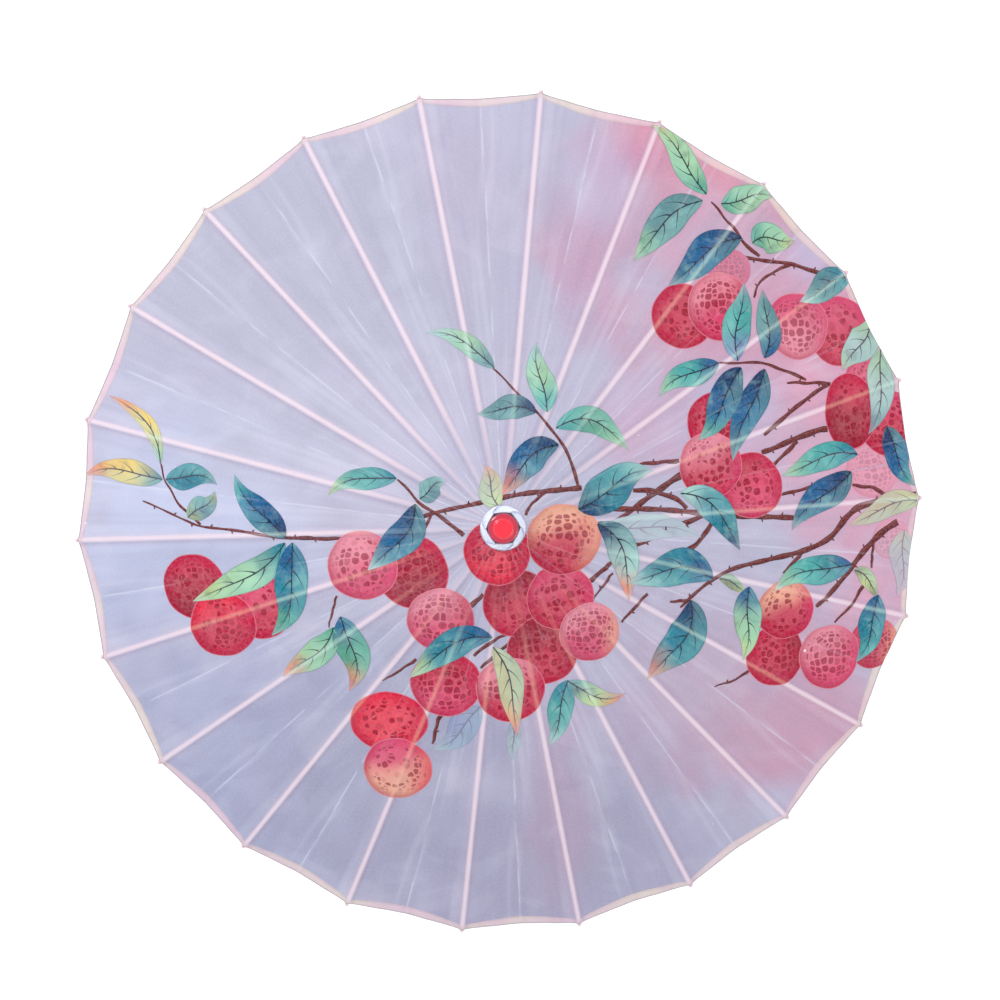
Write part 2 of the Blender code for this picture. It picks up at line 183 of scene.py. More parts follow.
def softProfile(corners, fillet, steps=4):
    # rounds each corner of a closed profile with a quadratic curve that starts a fillet away from it
    corners = np.asarray(corners, float)
    before, after = np.roll(corners, 1, 0) - corners, np.roll(corners, -1, 0) - corners
    reachB = np.minimum(fillet, 0.45 * np.linalg.norm(before, axis=1))[:, None]
    reachA = np.minimum(fillet, 0.45 * np.linalg.norm(after, axis=1))[:, None]
    start = corners + before / np.linalg.norm(before, axis=1)[:, None] * reachB
    end = corners + after / np.linalg.norm(after, axis=1)[:, None] * reachA
    t = np.linspace(0, 1, steps)[None, :, None]
    curve = (1 - t) ** 2 * start[:, None] + 2 * t * (1 - t) * corners[:, None] + t ** 2 * end[:, None]
    return curve.reshape(-1, 2)


def tubeMesh(name, path, radius, sides=8, ply=0.0, twist=0.0, closed=False):
    # a round section carried along a path; ply pinches it into two strands that twist round each other
    path = np.asarray(path, float)
    ahead = np.roll(path, -1, 0) if closed else np.vstack([path[1:], 2 * path[-1] - path[-2]])
    behind = np.roll(path, 1, 0) if closed else np.vstack([2 * path[0] - path[1], path[:-1]])
    along = ahead - behind
    along /= np.linalg.norm(along, axis=1)[:, None]
    sideways = np.cross(along, (0, 0, 1))
    sideways /= np.linalg.norm(sideways, axis=1)[:, None]
    upward = np.cross(sideways, along)
    run = np.concatenate([[0], np.cumsum(np.linalg.norm(np.diff(path, axis=0), axis=1))])
    angle = np.arange(sides) * 2 * math.pi / sides
    lobe = 1 - ply * (1 - np.abs(np.cos(angle[None, :] - twist * run[:, None])))
    reach = (radius * lobe)[..., None]
    points = path[:, None] + reach * (
        np.cos(angle)[None, :, None] * sideways[:, None] + np.sin(angle)[None, :, None] * upward[:, None])
    faces = gridFaces(len(path), sides, wrapRows=closed, wrapColumns=True)
    if not closed:
        faces += [list(range(sides)), [(len(path) - 1) * sides + s for s in range(sides)]]
    return makeMesh(name, points, faces)


class Finish:
    # one procedural material being put together; each call adds a node and hands back its output
    def __init__(self, name, **constants):
        self.material = bpy.data.materials.new(name)
        self.material.use_nodes = True
        self.tree = self.material.node_tree
        self.shader = self.tree.nodes["Principled BSDF"]
        for key, value in constants.items():
            self.shader.inputs[key.replace("_", " ")].default_value = value

    def add(self, kind, inputs=None, out=0, **settings):
        made = self.tree.nodes.new("ShaderNode" + kind)
        for key, value in settings.items():
            setattr(made, key, value)
        for key, value in (inputs or {}).items():
            self.put(made.inputs[key], value)
        return made.outputs[out]

    def put(self, socket, value):
        if isinstance(value, bpy.types.NodeSocket):
            self.tree.links.new(value, socket)
        elif hasattr(value, "__len__") and len(value) == 3 and socket.type == "RGBA":
            socket.default_value = (*value, 1.0)
        else:
            socket.default_value = value

    def attribute(self, name, out="Vector"):
        return self.add("Attribute", out=out, attribute_name=name, attribute_type="GEOMETRY")

    def split(self, vector):
        made = self.tree.nodes.new("ShaderNodeSeparateXYZ")
        self.tree.links.new(vector, made.inputs[0])
        return made.outputs[0], made.outputs[1], made.outputs[2]

    def math(self, operation, a, b=0.0):
        return self.add("Math", {0: a, 1: b}, operation=operation)

    def times(self, a, b):
        return self.math("MULTIPLY", a, b)

    def plus(self, a, b):
        return self.math("ADD", a, b)

    def minus(self, a, b):
        return self.math("SUBTRACT", a, b)

    def step(self, value, low, high, start=0.0, end=1.0):
        return self.add("MapRange", {0: value, 1: low, 2: high, 3: start, 4: end},
                        interpolation_type="SMOOTHSTEP")

    def mix(self, share, a, b, blend="MIX"):
        return self.add("Mix", {0: share, 6: a, 7: b}, out=2, data_type="RGBA", blend_type=blend)

    def scaled(self, vector, scale):
        return self.add("Mapping", {0: vector, 3: scale})

    def noise(self, vector, scale, detail=3.0, rough=0.55, distortion=0.0):
        return self.add("TexNoise", {0: vector, "Scale": scale, "Detail": detail,
                                     "Roughness": rough, "Distortion": distortion})

    def objectPlace(self):
        return self.add("TexCoord", out="Object")

    def finish(self, colour=None, rough=None, bump=None, strength=0.3, distance=0.0005):
        if colour is not None:
            self.put(self.shader.inputs["Base Color"], colour)
        if rough is not None:
            self.put(self.shader.inputs["Roughness"], rough)
        if bump is not None:
            normal = self.add("Bump", {"Strength": strength, "Distance": distance, "Height": bump})
            self.put(self.shader.inputs["Normal"], normal)
        return self.material


def woodFinish(name, light, dark, grain, rough, gloss=0.0):
    # long fibres: noise drawn out along the grain, with pores and slow bands of colour
    f = Finish(name, Coat_Weight=gloss, Coat_Roughness=0.25)
    place = f.objectPlace()
    fibre = f.noise(f.scaled(place, grain), 1.0, 6.0, 0.6, 0.3)
    band = f.noise(f.scaled(place, [g * 0.22 for g in grain]), 1.0, 2.0)
    pore = f.noise(f.scaled(place, [g * 2.6 for g in grain]), 1.0, 2.0)
    colour = f.mix(f.step(fibre, 0.36, 0.68), linear(dark), linear(light))
    colour = f.mix(f.times(f.step(band, 0.42, 0.7), 0.35), colour, linear(np.array(light) * 1.08))
    colour = f.mix(f.times(f.step(pore, 0.60, 0.72), 0.45), colour, linear(np.array(dark) * 0.7))
    roughness = f.plus(rough - 0.08, f.times(fibre, 0.2))
    return f.finish(colour, roughness, f.plus(fibre, f.times(pore, -0.5)), 0.35, 0.0002)


def bambooFinish(name, skin, shade):
    # straw-coloured fibres along the strip, darker at its joints, paler on its cut sides
    f = Finish(name)
    place = f.attribute("strip")
    along, _, depth = f.split(place)
    fibre = f.noise(f.scaled(place, (40, 2600, 2600)), 1.0, 5.0, 0.6)
    patch = f.noise(f.scaled(place, (14, 300, 300)), 1.0, 3.0)
    colour = f.mix(f.step(fibre, 0.34, 0.70), linear(shade), linear(skin))
    colour = f.mix(f.times(f.step(patch, 0.48, 0.72), 0.4), colour, linear(np.array(shade) * 0.86))
    ring = f.math("ABSOLUTE", f.minus(f.math("PINGPONG", f.plus(along, 0.024), 0.090), 0.045))
    joint = f.step(ring, 0.0004, 0.0022, 1.0, 0.0)
    colour = f.mix(f.times(joint, 0.55), colour, linear(np.array(shade) * 0.62))
    colour = f.mix(f.step(depth, -0.0018, 0.0012, 0.25, 0.0), colour, linear((0.93, 0.86, 0.72)))
    bump = f.minus(fibre, f.times(joint, 0.6))
    return f.finish(colour, f.plus(0.42, f.times(fibre, 0.22)), bump, 0.3, 0.0002)


def threadFinish(name, colour, rough=0.8):
    # spun cotton: fine diagonal fibres
    f = Finish(name, Sheen_Weight=0.3)
    fibre = f.noise(f.objectPlace(), 2600.0, 3.0)
    patch = f.noise(f.objectPlace(), 120.0, 2.0)
    tone = f.mix(f.step(fibre, 0.35, 0.7), linear(np.array(colour) * 0.80), linear(colour))
    tone = f.mix(f.times(patch, 0.25), tone, linear(np.array(colour) * 0.7))
    return f.finish(tone, f.plus(rough - 0.1, f.times(fibre, 0.2)), fibre, 0.5, 0.0002)


def metalFinish(name, colour, rough):
    # drawn metal: fine scratches round the axis and faint stains
    f = Finish(name, Metallic=1.0)
    place = f.objectPlace()
    scratch = f.noise(f.scaled(place, (160, 160, 5200)), 1.0, 3.0)
    stain = f.noise(place, 260.0, 3.0)
    tone = f.mix(f.step(stain, 0.45, 0.75), linear(colour), linear(np.array(colour) * 0.72))
    roughness = f.plus(rough, f.times(f.plus(scratch, stain), 0.12))
    return f.finish(tone, roughness, scratch, 0.15, 0.0001)


def clothFinish(name, paint, seeThrough=0.22, streakShare=0.66, overlay=1.0, nearStreak=0.55,
                streakTint=(0.99, 0.90, 0.94)):
    # printed cloth: paint gives the colour; a pale streak lies over the rib, partly the rib showing
    # through and partly painted sheen, with a painted shadow down one side; soft pulls run out from the
    # middle, drawn lighter and darker as painted highlight and painted shade, with a painted highlight along
    # the fold and painted glints; a plain weave of two crossed waves stands up, and some light passes
    # through
    f = Finish(name, Sheen_Weight=0.06 * overlay, Sheen_Roughness=0.4, Specular_IOR_Level=0.20 * overlay)
    colour, extraBump = paint(f)
    along, across, fold = f.split(f.attribute("ribLine"))
    plan = f.attribute("plan")
    x, y, _ = f.split(plan)
    side = f.math("ABSOLUTE", across)
    uneven = f.noise(f.scaled(plan, (26, 26, 1)), 1.0, 2.0)
    wide = f.math("MINIMUM", 0.0021, f.times(along, 0.026))
    edge = f.times(wide, f.plus(0.80, f.times(uneven, 0.4)))
    # the streak: partly the rib's pale wood showing through the cloth, partly painted sheen
    streak = f.add("MapRange", {0: side, 1: f.times(edge, 0.75), 2: f.times(edge, 1.40),
                                3: 1.0, 4: 0.0}, interpolation_type="SMOOTHSTEP")
    streak = f.times(streak, f.step(along, 0.05, 0.17, nearStreak * streakShare, streakShare))
    # painted sheen: a soft pink glow either side of the streak
    sheenGlow = f.times(f.step(side, 0.002, 0.010, 0.12 * overlay, 0.0), f.step(along, 0.05, 0.15))
    colour = f.mix(sheenGlow, colour, linear((0.95, 0.84, 0.90)))
    colour = f.mix(streak, colour, linear(streakTint))
    # painted highlight: a thin bright line down the middle of the streak
    streakHighlight = f.times(f.step(side, 0.0004, 0.0011, 0.75, 0.0), f.step(along, 0.06, 0.18, 0.0, streakShare))
    colour = f.mix(streakHighlight, colour, linear(np.clip(np.array(streakTint) * 1.06, 0, 1)))
    # painted shadow: a lilac band down one side of each rib, as if cast by its ridge
    shade = f.times(f.step(across, 0.0026, 0.0036, 0.0, 1.0),
                    f.step(across, 0.0036, 0.0090, 0.26 * overlay, 0.0))
    colour = f.mix(shade, colour, linear((0.62, 0.56, 0.70)))
    fan = f.add("CombineXYZ", {0: f.math("DIVIDE", across, along), 1: along})
    pullAndShading = f.noise(f.scaled(fan, (17, 5, 1)), 1.0, 2.0, 0.45, 0.9)
    slack = f.noise(f.scaled(plan, (11, 16, 1)), 1.0, 2.0, 0.5, 1.6)
    # painted highlight and painted shade: each pull is paler where it stands up and darker where it sinks;
    # the same noise also raises the bump
    colour = f.mix(f.step(pullAndShading, 0.50, 0.72, 0.0, 0.20 * overlay), colour, linear((0.93, 0.94, 0.99)))
    colour = f.mix(f.step(pullAndShading, 0.50, 0.28, 0.0, 0.14 * overlay), colour, linear((0.58, 0.57, 0.70)))
    colour = f.mix(f.step(slack, 0.50, 0.66, 0.0, 0.09 * overlay), colour, linear((0.94, 0.94, 0.99)))
    mottle = f.noise(f.scaled(plan, (420, 420, 1)), 1.0, 3.0, 0.7)
    colour = f.mix(f.step(mottle, 0.35, 0.65, 0.0, 0.10 * overlay), colour, linear((0.97, 0.96, 0.99)))
    # painted highlight: a pale line along the mid-gore fold, broken up by the uneven noise
    foldHighlight = f.times(f.step(fold, 0.0003, 0.0013, 0.42 * overlay, 0.0), f.step(uneven, 0.38, 0.58))
    colour = f.mix(foldHighlight, colour, linear((0.92, 0.93, 0.99)))
    # painted glints: small near-white specks scattered over the cloth
    glintSpeck = f.add("TexVoronoi", {0: f.scaled(plan, (15, 15, 1)), "Scale": 1.0}, out="Distance")
    colour = f.mix(f.step(glintSpeck, 0.012, 0.026, 0.85, 0.0), colour, linear((0.99, 0.98, 1.0)))
    warp = f.math("SINE", f.times(x, 6283.0))
    weft = f.math("SINE", f.times(y, 6283.0))
    weave = f.plus(f.times(f.times(warp, weft), 0.5), f.times(mottle, 1.2))
    bump = f.plus(weave, f.times(f.plus(pullAndShading, slack), 6.0))
    if extraBump is not None:
        bump = f.plus(bump, extraBump)
    rough = f.plus(0.58, f.times(mottle, 0.20))
    f.finish(colour, rough, bump, 0.35, 0.00025)
    through = f.add("BsdfTranslucent", {"Color": colour})
    both = f.add("MixShader", {0: seeThrough, 1: f.shader.outputs[0], 2: through})
    f.tree.links.new(both, f.tree.nodes["Material Output"].inputs[0])
    return f.material


def plainPaint(f):
    # the cloth's own wash, with nothing printed over it
    return f.attribute("wash", "Color"), None


def hemPaint(f):
    # the folded edge: the cloth's colour paled to cream and blush
    plan = f.attribute("plan")
    blot = f.noise(f.scaled(plan, (9, 9, 1)), 1.0, 3.0)
    cream = f.mix(f.step(blot, 0.40, 0.62), linear((0.97, 0.92, 0.88)), linear((0.96, 0.86, 0.90)))
    return f.mix(0.78, f.attribute("wash", "Color"), cream), None


def motifMix(f, colour):
    # the motif's colour, let into the cloth's own where the paint is thin
    paint = f.tree.nodes.new("ShaderNodeAttribute")
    paint.attribute_name = "paint"
    plan = f.attribute("plan")
    grain = f.noise(f.scaled(plan, (300, 300, 1)), 1.0, 4.0, 0.65)
    share = f.times(paint.outputs["Alpha"], f.step(grain, 0.30, 0.60, 0.90, 1.0))
    return f.mix(share, f.attribute("wash", "Color"), colour)


def leafPaint(f):
    # x runs from the stalk to the tip and y from edge to edge; side veins bend forward from the midrib
    t, v, wide = f.split(f.attribute("motif"))
    side = f.math("ABSOLUTE", v)
    colour = f.attribute("paint", "Color")
    plan = f.attribute("plan")
    blot = f.noise(f.scaled(plan, (60, 60, 1)), 1.0, 3.0, 0.55, 0.6)
    colour = f.mix(f.step(blot, 0.50, 0.72, 0.0, 0.26), colour, linear((0.70, 0.90, 0.84)))
    colour = f.mix(f.step(blot, 0.48, 0.28, 0.0, 0.34), colour, linear((0.05, 0.24, 0.38)))
    colour = f.mix(f.step(v, -0.1, 0.35, 0.0, 0.20), colour, linear((0.62, 0.90, 0.86)))
    sweep = f.minus(t, f.times(f.math("POWER", side, 1.5), 0.26))
    shifted = f.plus(sweep, f.times(f.math("SIGN", v), 0.05))
    gap = f.math("ABSOLUTE", f.minus(f.math("FRACT", f.times(shifted, 4.6)), 0.5))
    thick = f.times(f.step(side, 0.0, 0.9, 0.075, 0.02), f.step(t, 0.2, 0.9, 1.0, 0.6))
    vein = f.add("MapRange", {0: gap, 1: f.times(thick, 0.5), 2: thick, 3: 1.0, 4: 0.0},
                 interpolation_type="SMOOTHSTEP")
    vein = f.times(vein, f.times(f.step(t, 0.76, 0.90, 1.0, 0.0), f.step(side, 0.70, 0.92, 1.0, 0.0)))
    offset = f.times(side, wide)
    middle = f.times(f.step(offset, 0.04, 0.085, 1.0, 0.0), f.step(t, 0.55, 0.98, 1.0, 0.2))
    line = f.math("MAXIMUM", f.times(vein, 0.92), middle)
    colour = f.mix(line, colour, linear((0.02, 0.11, 0.19)))
    colour = f.mix(f.step(side, 0.90, 1.0, 0.0, 0.40), colour, linear((0.12, 0.28, 0.34)))
    return motifMix(f, colour), f.times(line, -0.4)


def fruitPaint(f):
    # x and y run across the fruit from -1 to 1 and are swelled as on a ball; dark rind cells in a paler net
    px, py, tone = f.split(f.attribute("motif"))
    far = f.plus(f.times(px, px), f.times(py, py))
    swell = f.plus(0.74, f.times(far, 0.56))
    place = f.add("CombineXYZ", {0: f.times(px, swell), 1: f.times(py, swell), 2: tone})
    wobble = f.noise(place, 2.1, 2.0)
    ragged = f.times(f.minus(f.noise(place, 9.0, 2.0), 0.5), 0.14)
    cells = {0: place, "Scale": 5.0, "Randomness": 0.62}
    cellEdge = f.add("TexVoronoi", dict(cells), out="Distance", feature="DISTANCE_TO_EDGE")
    cellFar = f.add("TexVoronoi", dict(cells), out="Distance")
    cellTone = f.split(f.add("TexVoronoi", dict(cells), out="Color"))[0]
    colour = f.attribute("paint", "Color")
    reach = f.times(f.step(far, 0.20, 0.86, 1.0, 0.0), f.step(wobble, 0.28, 0.46))
    gap = f.plus(0.13, f.times(reach, -0.045))
    inCell = f.step(f.minus(f.plus(cellEdge, ragged), gap), -0.03, 0.03)
    inCell = f.times(inCell, f.step(f.plus(cellFar, ragged), 0.47, 0.58, 1.0, 0.0))
    inCell = f.times(inCell, f.step(cellTone, 0.02, 0.35, 0.30, 1.0))
    pale = f.mix(0.17, colour, linear((1.0, 0.66, 0.68)))
    dark = f.mix(0.80, colour, linear((0.60, 0.02, 0.15)))
    colour = f.mix(f.times(reach, 0.9), colour, pale)
    colour = f.mix(f.times(inCell, f.step(reach, 0.0, 0.55, 0.12, 0.95)), colour, dark)
    stipple = f.noise(place, 26.0, 2.0, 0.7)
    frost = f.times(f.step(stipple, 0.58, 0.68), f.step(wobble, 0.52, 0.66, 0.0, 0.34))
    colour = f.mix(frost, colour, linear((1.0, 0.80, 0.78)))
    lean = f.plus(far, f.times(f.plus(px, py), -0.14))
    colour = f.mix(f.step(lean, 0.60, 1.12, 0.0, 0.58), colour, linear((0.66, 0.03, 0.18)))
    colour = f.mix(f.step(far, 0.925, 0.975, 0.0, 0.50), colour, linear((0.98, 0.62, 0.68)))
    return motifMix(f, colour), f.times(inCell, -0.3)


def twigPaint(f):
    # bark: darker at both edges, ringed and streaked along its length
    place = f.attribute("motif")
    v = f.split(place)[1]
    side = f.math("ABSOLUTE", v)
    bark = f.noise(f.scaled(place, (2.2, 1.6, 1)), 1.0, 4.0, 0.7)
    colour = f.mix(f.step(bark, 0.40, 0.62), linear((0.30, 0.10, 0.10)), linear((0.54, 0.23, 0.20)))
    colour = f.mix(f.step(v, -0.1, 0.7, 0.0, 0.30), colour, linear((0.72, 0.40, 0.36)))
    colour = f.mix(f.step(side, 0.55, 0.95, 0.0, 0.85), colour, linear((0.20, 0.05, 0.08)))
    return motifMix(f, colour), bark


finishes = {
    "cloth": clothFinish("printedCloth", plainPaint),
    "hem": clothFinish("hemCloth", hemPaint, 0.35, 0.40, 0.6),
    "leaf": clothFinish("leafPrint", leafPaint, 0.10, 0.24, 0.25, 0.2, (0.84, 0.96, 0.90)),
    "fruit": clothFinish("fruitPrint", fruitPaint, 0.08, 0.22, 0.16, 0.2, (1.0, 0.74, 0.66)),
    "twig": clothFinish("twigPrint", twigPaint, 0.10, 0.14, 0.2, 0.2),
    "bamboo": bambooFinish("ribBamboo", (0.86, 0.74, 0.54), (0.72, 0.56, 0.36)),
    "stick": woodFinish("stickWood", (0.66, 0.44, 0.26), (0.45, 0.26, 0.14), (900, 900, 30), 0.48,
                        gloss=0.2),
    "turned": woodFinish("turnedWood", (0.50, 0.26, 0.15), (0.27, 0.12, 0.07), (700, 700, 24), 0.40,
                         gloss=0.5),
    "block": woodFinish("blockWood", (0.80, 0.62, 0.42), (0.62, 0.43, 0.26), (800, 800, 60), 0.55),
    "thread": threadFinish("cottonThread", (0.88, 0.84, 0.78)),
    "rimThread": threadFinish("rimThread", (0.80, 0.78, 0.80)),
    "steel": metalFinish("springSteel", (0.66, 0.67, 0.69), 0.28),
    "brass": metalFinish("ferruleBrass", (0.86, 0.68, 0.40), 0.26),
}
print("stage: finishes made")


cloth = {
    "ridgeHigh": 0.0009, "ridgeHalf": 0.005, "sag": 0.0036, "sagPower": 2.2, "foldDeep": 0.00012,
    "pullHigh": 0.00032, "innerRadius": 0.01825, "hemNarrow": 0.0036, "hemWide": 0.0078, "hemInset": 0.0016,
    "rows": 56, "keep": 0.075,
}
# the columns of one sector, as shares of the way from its rib to the fold; closer over the rib and the fold
halfShares = np.array([0, .016, .032, .048, .064, .084, .11, .15, .20, .26, .33, .41, .50, .59, .68, .77,
                       .86, .93, .975, 1])
shares = np.concatenate([-halfShares[:0:-1], halfShares])
shoulderRise = clothTopFlat - (umbrella["hingeHeight"] + (umbrella["clothLift"] + umbrella["clothThick"])
                               / math.cos(umbrella["slope"])
                               - (umbrella["shoulder"] - umbrella["hingeRadius"]) * slopeTan)


def clothHeight(along, across, index):
    # the cloth's upper face: flat from rib to rib, with a soft ridge over each rib, a slack valley between
    # them that is deepest near the rim, a sharp fold at its middle, and pulls that run out along it
    out = np.abs(across)
    reach = along + out * math.tan(halfStep)
    wide = np.maximum(along, 1e-4) * math.tan(halfStep)
    share = np.clip(out / wide, 0, 1)
    lift = (umbrella["clothLift"] + umbrella["clothThick"]) / math.cos(umbrella["slope"])
    height = umbrella["hingeHeight"] + lift
    height = height - (reach - umbrella["hingeRadius"]) * slopeTan
    height = height + shoulderRise * (1 - soft(umbrella["shoulder"], 0.036, reach))
    height = np.minimum(height, clothTopFlat)
    ridge = np.minimum(cloth["ridgeHalf"], 0.55 * wide)
    crest = cloth["ridgeHigh"] * (ridge / cloth["ridgeHalf"]) ** 2
    height = height + crest * (1 - soft(0.3 * ridge, ridge, out))
    height = height - cloth["sag"] * soft(0.03, 0.40, reach) * (1 - (1 - share ** cloth["sagPower"]) ** 1.5)
    fold = along * math.sin(halfStep) - out * math.cos(halfStep)
    height = height - cloth["foldDeep"] * np.exp(-np.abs(fold) / 0.0016) * soft(0.03, 0.1, along)
    seed = index * 2 + (across > 0) * 1.0
    wave = np.sin(9.5 * share + 2.1 * seed + 6 * along) + 0.6 * np.sin(15 * share - 1.3 * seed - 9 * along)
    height = height + cloth["pullHigh"] * wave * soft(0.06, 0.36, along) * np.sin(math.pi * share) ** 2
    return height


def hemReach(angle):
    # how far out the cloth's edge is at an angle from its rib: the straight line between two ribs' tips,
    # drawn a little inwards away from the tips
    out = np.abs(angle)
    chord = umbrella["hemReach"] * math.cos(halfStep) / np.cos(halfStep - out)
    slack = 0.0006 * np.sin(out / halfStep * math.pi / 2) ** 2
    return chord - cloth["hemInset"] * (1 - np.exp(-out * 60)) - slack


def hemWidth(angle):
    # the hem is narrow at its rib and widens towards the fold
    narrow, wide = cloth["hemNarrow"], cloth["hemWide"]
    return narrow + (wide - narrow) * np.sin(np.abs(angle) / halfStep * math.pi / 2) ** 0.8


def toPlan(along, across, index):
    # from a rib's own line to the canopy's plan: a turn about the pole
    turn = index * ribStep
    return along * math.cos(turn) - across * math.sin(turn), along * math.sin(turn) + across * math.cos(turn)


washes = [  # (x, y, reach x, reach y, strength, colour), a wet wash of paint each
    (-0.30, 0.02, 0.16, 0.16, 0.75, (0.81, 0.84, 0.94)),
    (-0.26, -0.24, 0.20, 0.20, 0.90, (0.68, 0.70, 0.82)),
    (-0.12, -0.24, 0.14, 0.14, 0.60, (0.69, 0.69, 0.79)),
    (0.02, -0.34, 0.24, 0.16, 0.85, (0.68, 0.67, 0.78)),
    (-0.14, 0.10, 0.12, 0.10, 0.60, (0.84, 0.83, 0.91)),
    (-0.20, 0.26, 0.24, 0.18, 0.75, (0.735, 0.74, 0.82)),
    (0.24, 0.20, 0.15, 0.12, 0.90, (0.86, 0.65, 0.75)),
    (0.36, 0.04, 0.12, 0.16, 0.90, (0.91, 0.67, 0.77)),
    (0.19, 0.35, 0.09, 0.06, 0.90, (0.90, 0.60, 0.69)),
    (0.13, 0.27, 0.08, 0.09, 0.60, (0.81, 0.66, 0.76)),
    (0.09, 0.22, 0.035, 0.06, 0.55, (0.80, 0.62, 0.74)),
    (0.15, 0.34, 0.028, 0.02, 0.80, (0.84, 0.58, 0.71)),
    (0.28, -0.22, 0.10, 0.09, 0.85, (0.83, 0.63, 0.73)),
    (0.18, -0.16, 0.10, 0.10, 0.65, (0.79, 0.68, 0.77)),
    (0.04, -0.26, 0.04, 0.12, 0.50, (0.76, 0.64, 0.74)),
    (0.30, 0.32, 0.06, 0.06, 0.90, (0.87, 0.63, 0.72)),
    (0.13, 0.10, 0.06, 0.05, 0.60, (0.86, 0.70, 0.81)),
    (0.22, 0.10, 0.05, 0.04, 0.55, (0.80, 0.80, 0.92)),
    (0.11, 0.32, 0.04, 0.05, 0.60, (0.79, 0.77, 0.88)),
    (0.31, 0.24, 0.03, 0.03, 0.60, (0.80, 0.78, 0.90)),
    (-0.02, 0.33, 0.05, 0.10, 0.35, (0.79, 0.73, 0.83)),
    (0.30, -0.30, 0.04, 0.04, 0.50, (0.78, 0.74, 0.86)),
]


def washColour(x, y):
    # the cloth's own tint: pale lavender, with each wash laid over it by a bell of its reach, edge ragged
    colour = np.zeros(np.shape(x) + (3,)) + np.array((0.775, 0.765, 0.855))
    ragged = 0.35 * ripple(x * 26, y * 26, 1.3) + 0.2 * ripple(x * 60, y * 60, 2.9)
    for px, py, rx, ry, strength, tint in washes:
        far = np.sqrt(((x - px) / rx) ** 2 + ((y - py) / ry) ** 2) + ragged * 1.1
        colour = mixed(colour, np.array(tint), strength * (1 - soft(0.25, 1.35, far)))
    return linear(np.clip(colour + 0.012 * ripple(x * 90, y * 90, 4.2)[..., None], 0, 1))


def clothData(along, across, index):
    # what the finishes read: the plan, the place against the rib and the fold, and the wash
    x, y = toPlan(along, across, index)
    fold = along * math.sin(halfStep) - np.abs(across) * math.cos(halfStep)
    rgba = np.concatenate([washColour(x, y), np.ones(np.shape(x) + (1,))], -1)
    plan, ribLine = np.stack([x, y, 0 * x], -1), np.stack([along, across, fold], -1)
    return {"plan": plan, "ribLine": ribLine}, {"wash": rgba}


def foldAway(item):
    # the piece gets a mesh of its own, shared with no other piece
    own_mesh(item)


def clothSector(index):
    # a fan of columns through the pole's axis, each from the collar to under the hem
    angle = shares * halfStep
    start, end = cloth["innerRadius"], hemReach(angle) - hemWidth(angle) + 0.0016
    t = (np.linspace(0, 1, cloth["rows"]) ** 1.12)[:, None]
    reach = start + (end - start)[None, :] * t
    along, across = reach * np.cos(angle), reach * np.sin(angle)
    x, y = toPlan(along, across, index)
    vectors, colours = clothData(along, across, index)
    points = np.stack([x, y, clothHeight(along, across, index)], -1)
    mesh = makeMesh("cloth", points, gridFaces(cloth["rows"], len(shares)), vectors, colours, recalc=False)
    if mesh.polygons[0].normal.z < 0:
        mesh.flip_normals()
    crispEdge(mesh)
    item = makePiece(numbered("canopy", index), mesh, [finishes["cloth"]], numbered("rib", index),
                     ["canopy"])
    addThickness(item, umbrella["clothThick"])
    foldAway(item)
    return item


def hemSector(index):
    # a flat sleeve round the cloth's edge: over the top, round the outer fold and back underneath
    angle = shares * halfStep
    edge, wide = hemReach(angle), hemWidth(angle)
    inset = np.array([1, .93, .8, .62, .42, .22, .06, 0, 0, .06, .22, .42, .62, .8, .93, 1])[:, None]
    lift = np.array([.00004, .00016, .0002, .0002, .0002, .0002, .0001, -.0001, -.0004, -.0007, -.0007,
                     -.0007, -.0007, -.0007, -.00066, -.00054])
    reach = edge[None, :] - wide[None, :] * inset
    along, across = reach * np.cos(angle), reach * np.sin(angle)
    x, y = toPlan(along, across, index)
    vectors, colours = clothData(along, across, index)
    points = np.stack([x, y, clothHeight(along, across, index) + lift[:, None]], -1)
    rows, columns = inset.shape[0], len(shares)
    faces = gridFaces(rows, columns, wrapRows=True)
    faces += [[r * columns for r in range(rows)], [r * columns + columns - 1 for r in range(rows)]]
    mesh = makeMesh("hem", points, faces, vectors, colours, keepSharp=70)
    item = makePiece(numbered("hem", index), mesh, [finishes["hem"]], numbered("rib", index),
                     ["canopy"])
    foldAway(item)
    return item


def rimSector(index):
    # the cord lies against the hem's outer fold
    angle = np.linspace(-halfStep, halfStep, 31)
    reach = hemReach(angle) + 0.00035
    along, across = reach * np.cos(angle), reach * np.sin(angle)
    x, y = toPlan(along, across, index)
    path = np.stack([x, y, clothHeight(along, across, index) - 0.0001], -1)
    mesh = tubeMesh("rimCord", path, 0.0005, 8)
    item = makePiece(numbered("rim_cord", index), mesh, [finishes["rimThread"]], numbered("rib", index),
                     ["rim_cord"])
    foldAway(item)
    return item


sectors, hems = [], []
for index in range(umbrella["ribs"]):
    sectors.append(clothSector(index))
    hems.append(hemSector(index))
    rimSector(index)
print("stage: canopy cloth, hem and rim cord made")


# the print: lengths are millimetres on the canopy's plan, with +x along rib 1
tints = {
    "navy": (0.02, 0.22, 0.40), "blue": (0.02, 0.38, 0.58), "teal": (0.05, 0.52, 0.60),
    "sea": (0.28, 0.68, 0.66), "grey": (0.38, 0.58, 0.60), "mist": (0.66, 0.80, 0.78),
    "green": (0.36, 0.66, 0.55), "pale": (0.64, 0.82, 0.66), "lime": (0.76, 0.84, 0.56),
    "khaki": (0.56, 0.62, 0.42), "sand": (0.78, 0.78, 0.60), "orange": (0.95, 0.54, 0.38),
    "yellow": (0.94, 0.82, 0.40), "dusk": (0.48, 0.58, 0.74), "crimson": (0.77, 0.09, 0.26),
    "deep": (0.60, 0.05, 0.17), "bright": (0.91, 0.13, 0.26), "rose": (0.86, 0.25, 0.42),
    "blush": (0.92, 0.56, 0.63), "peach": (0.93, 0.68, 0.57), "wine": (0.50, 0.13, 0.19),
}
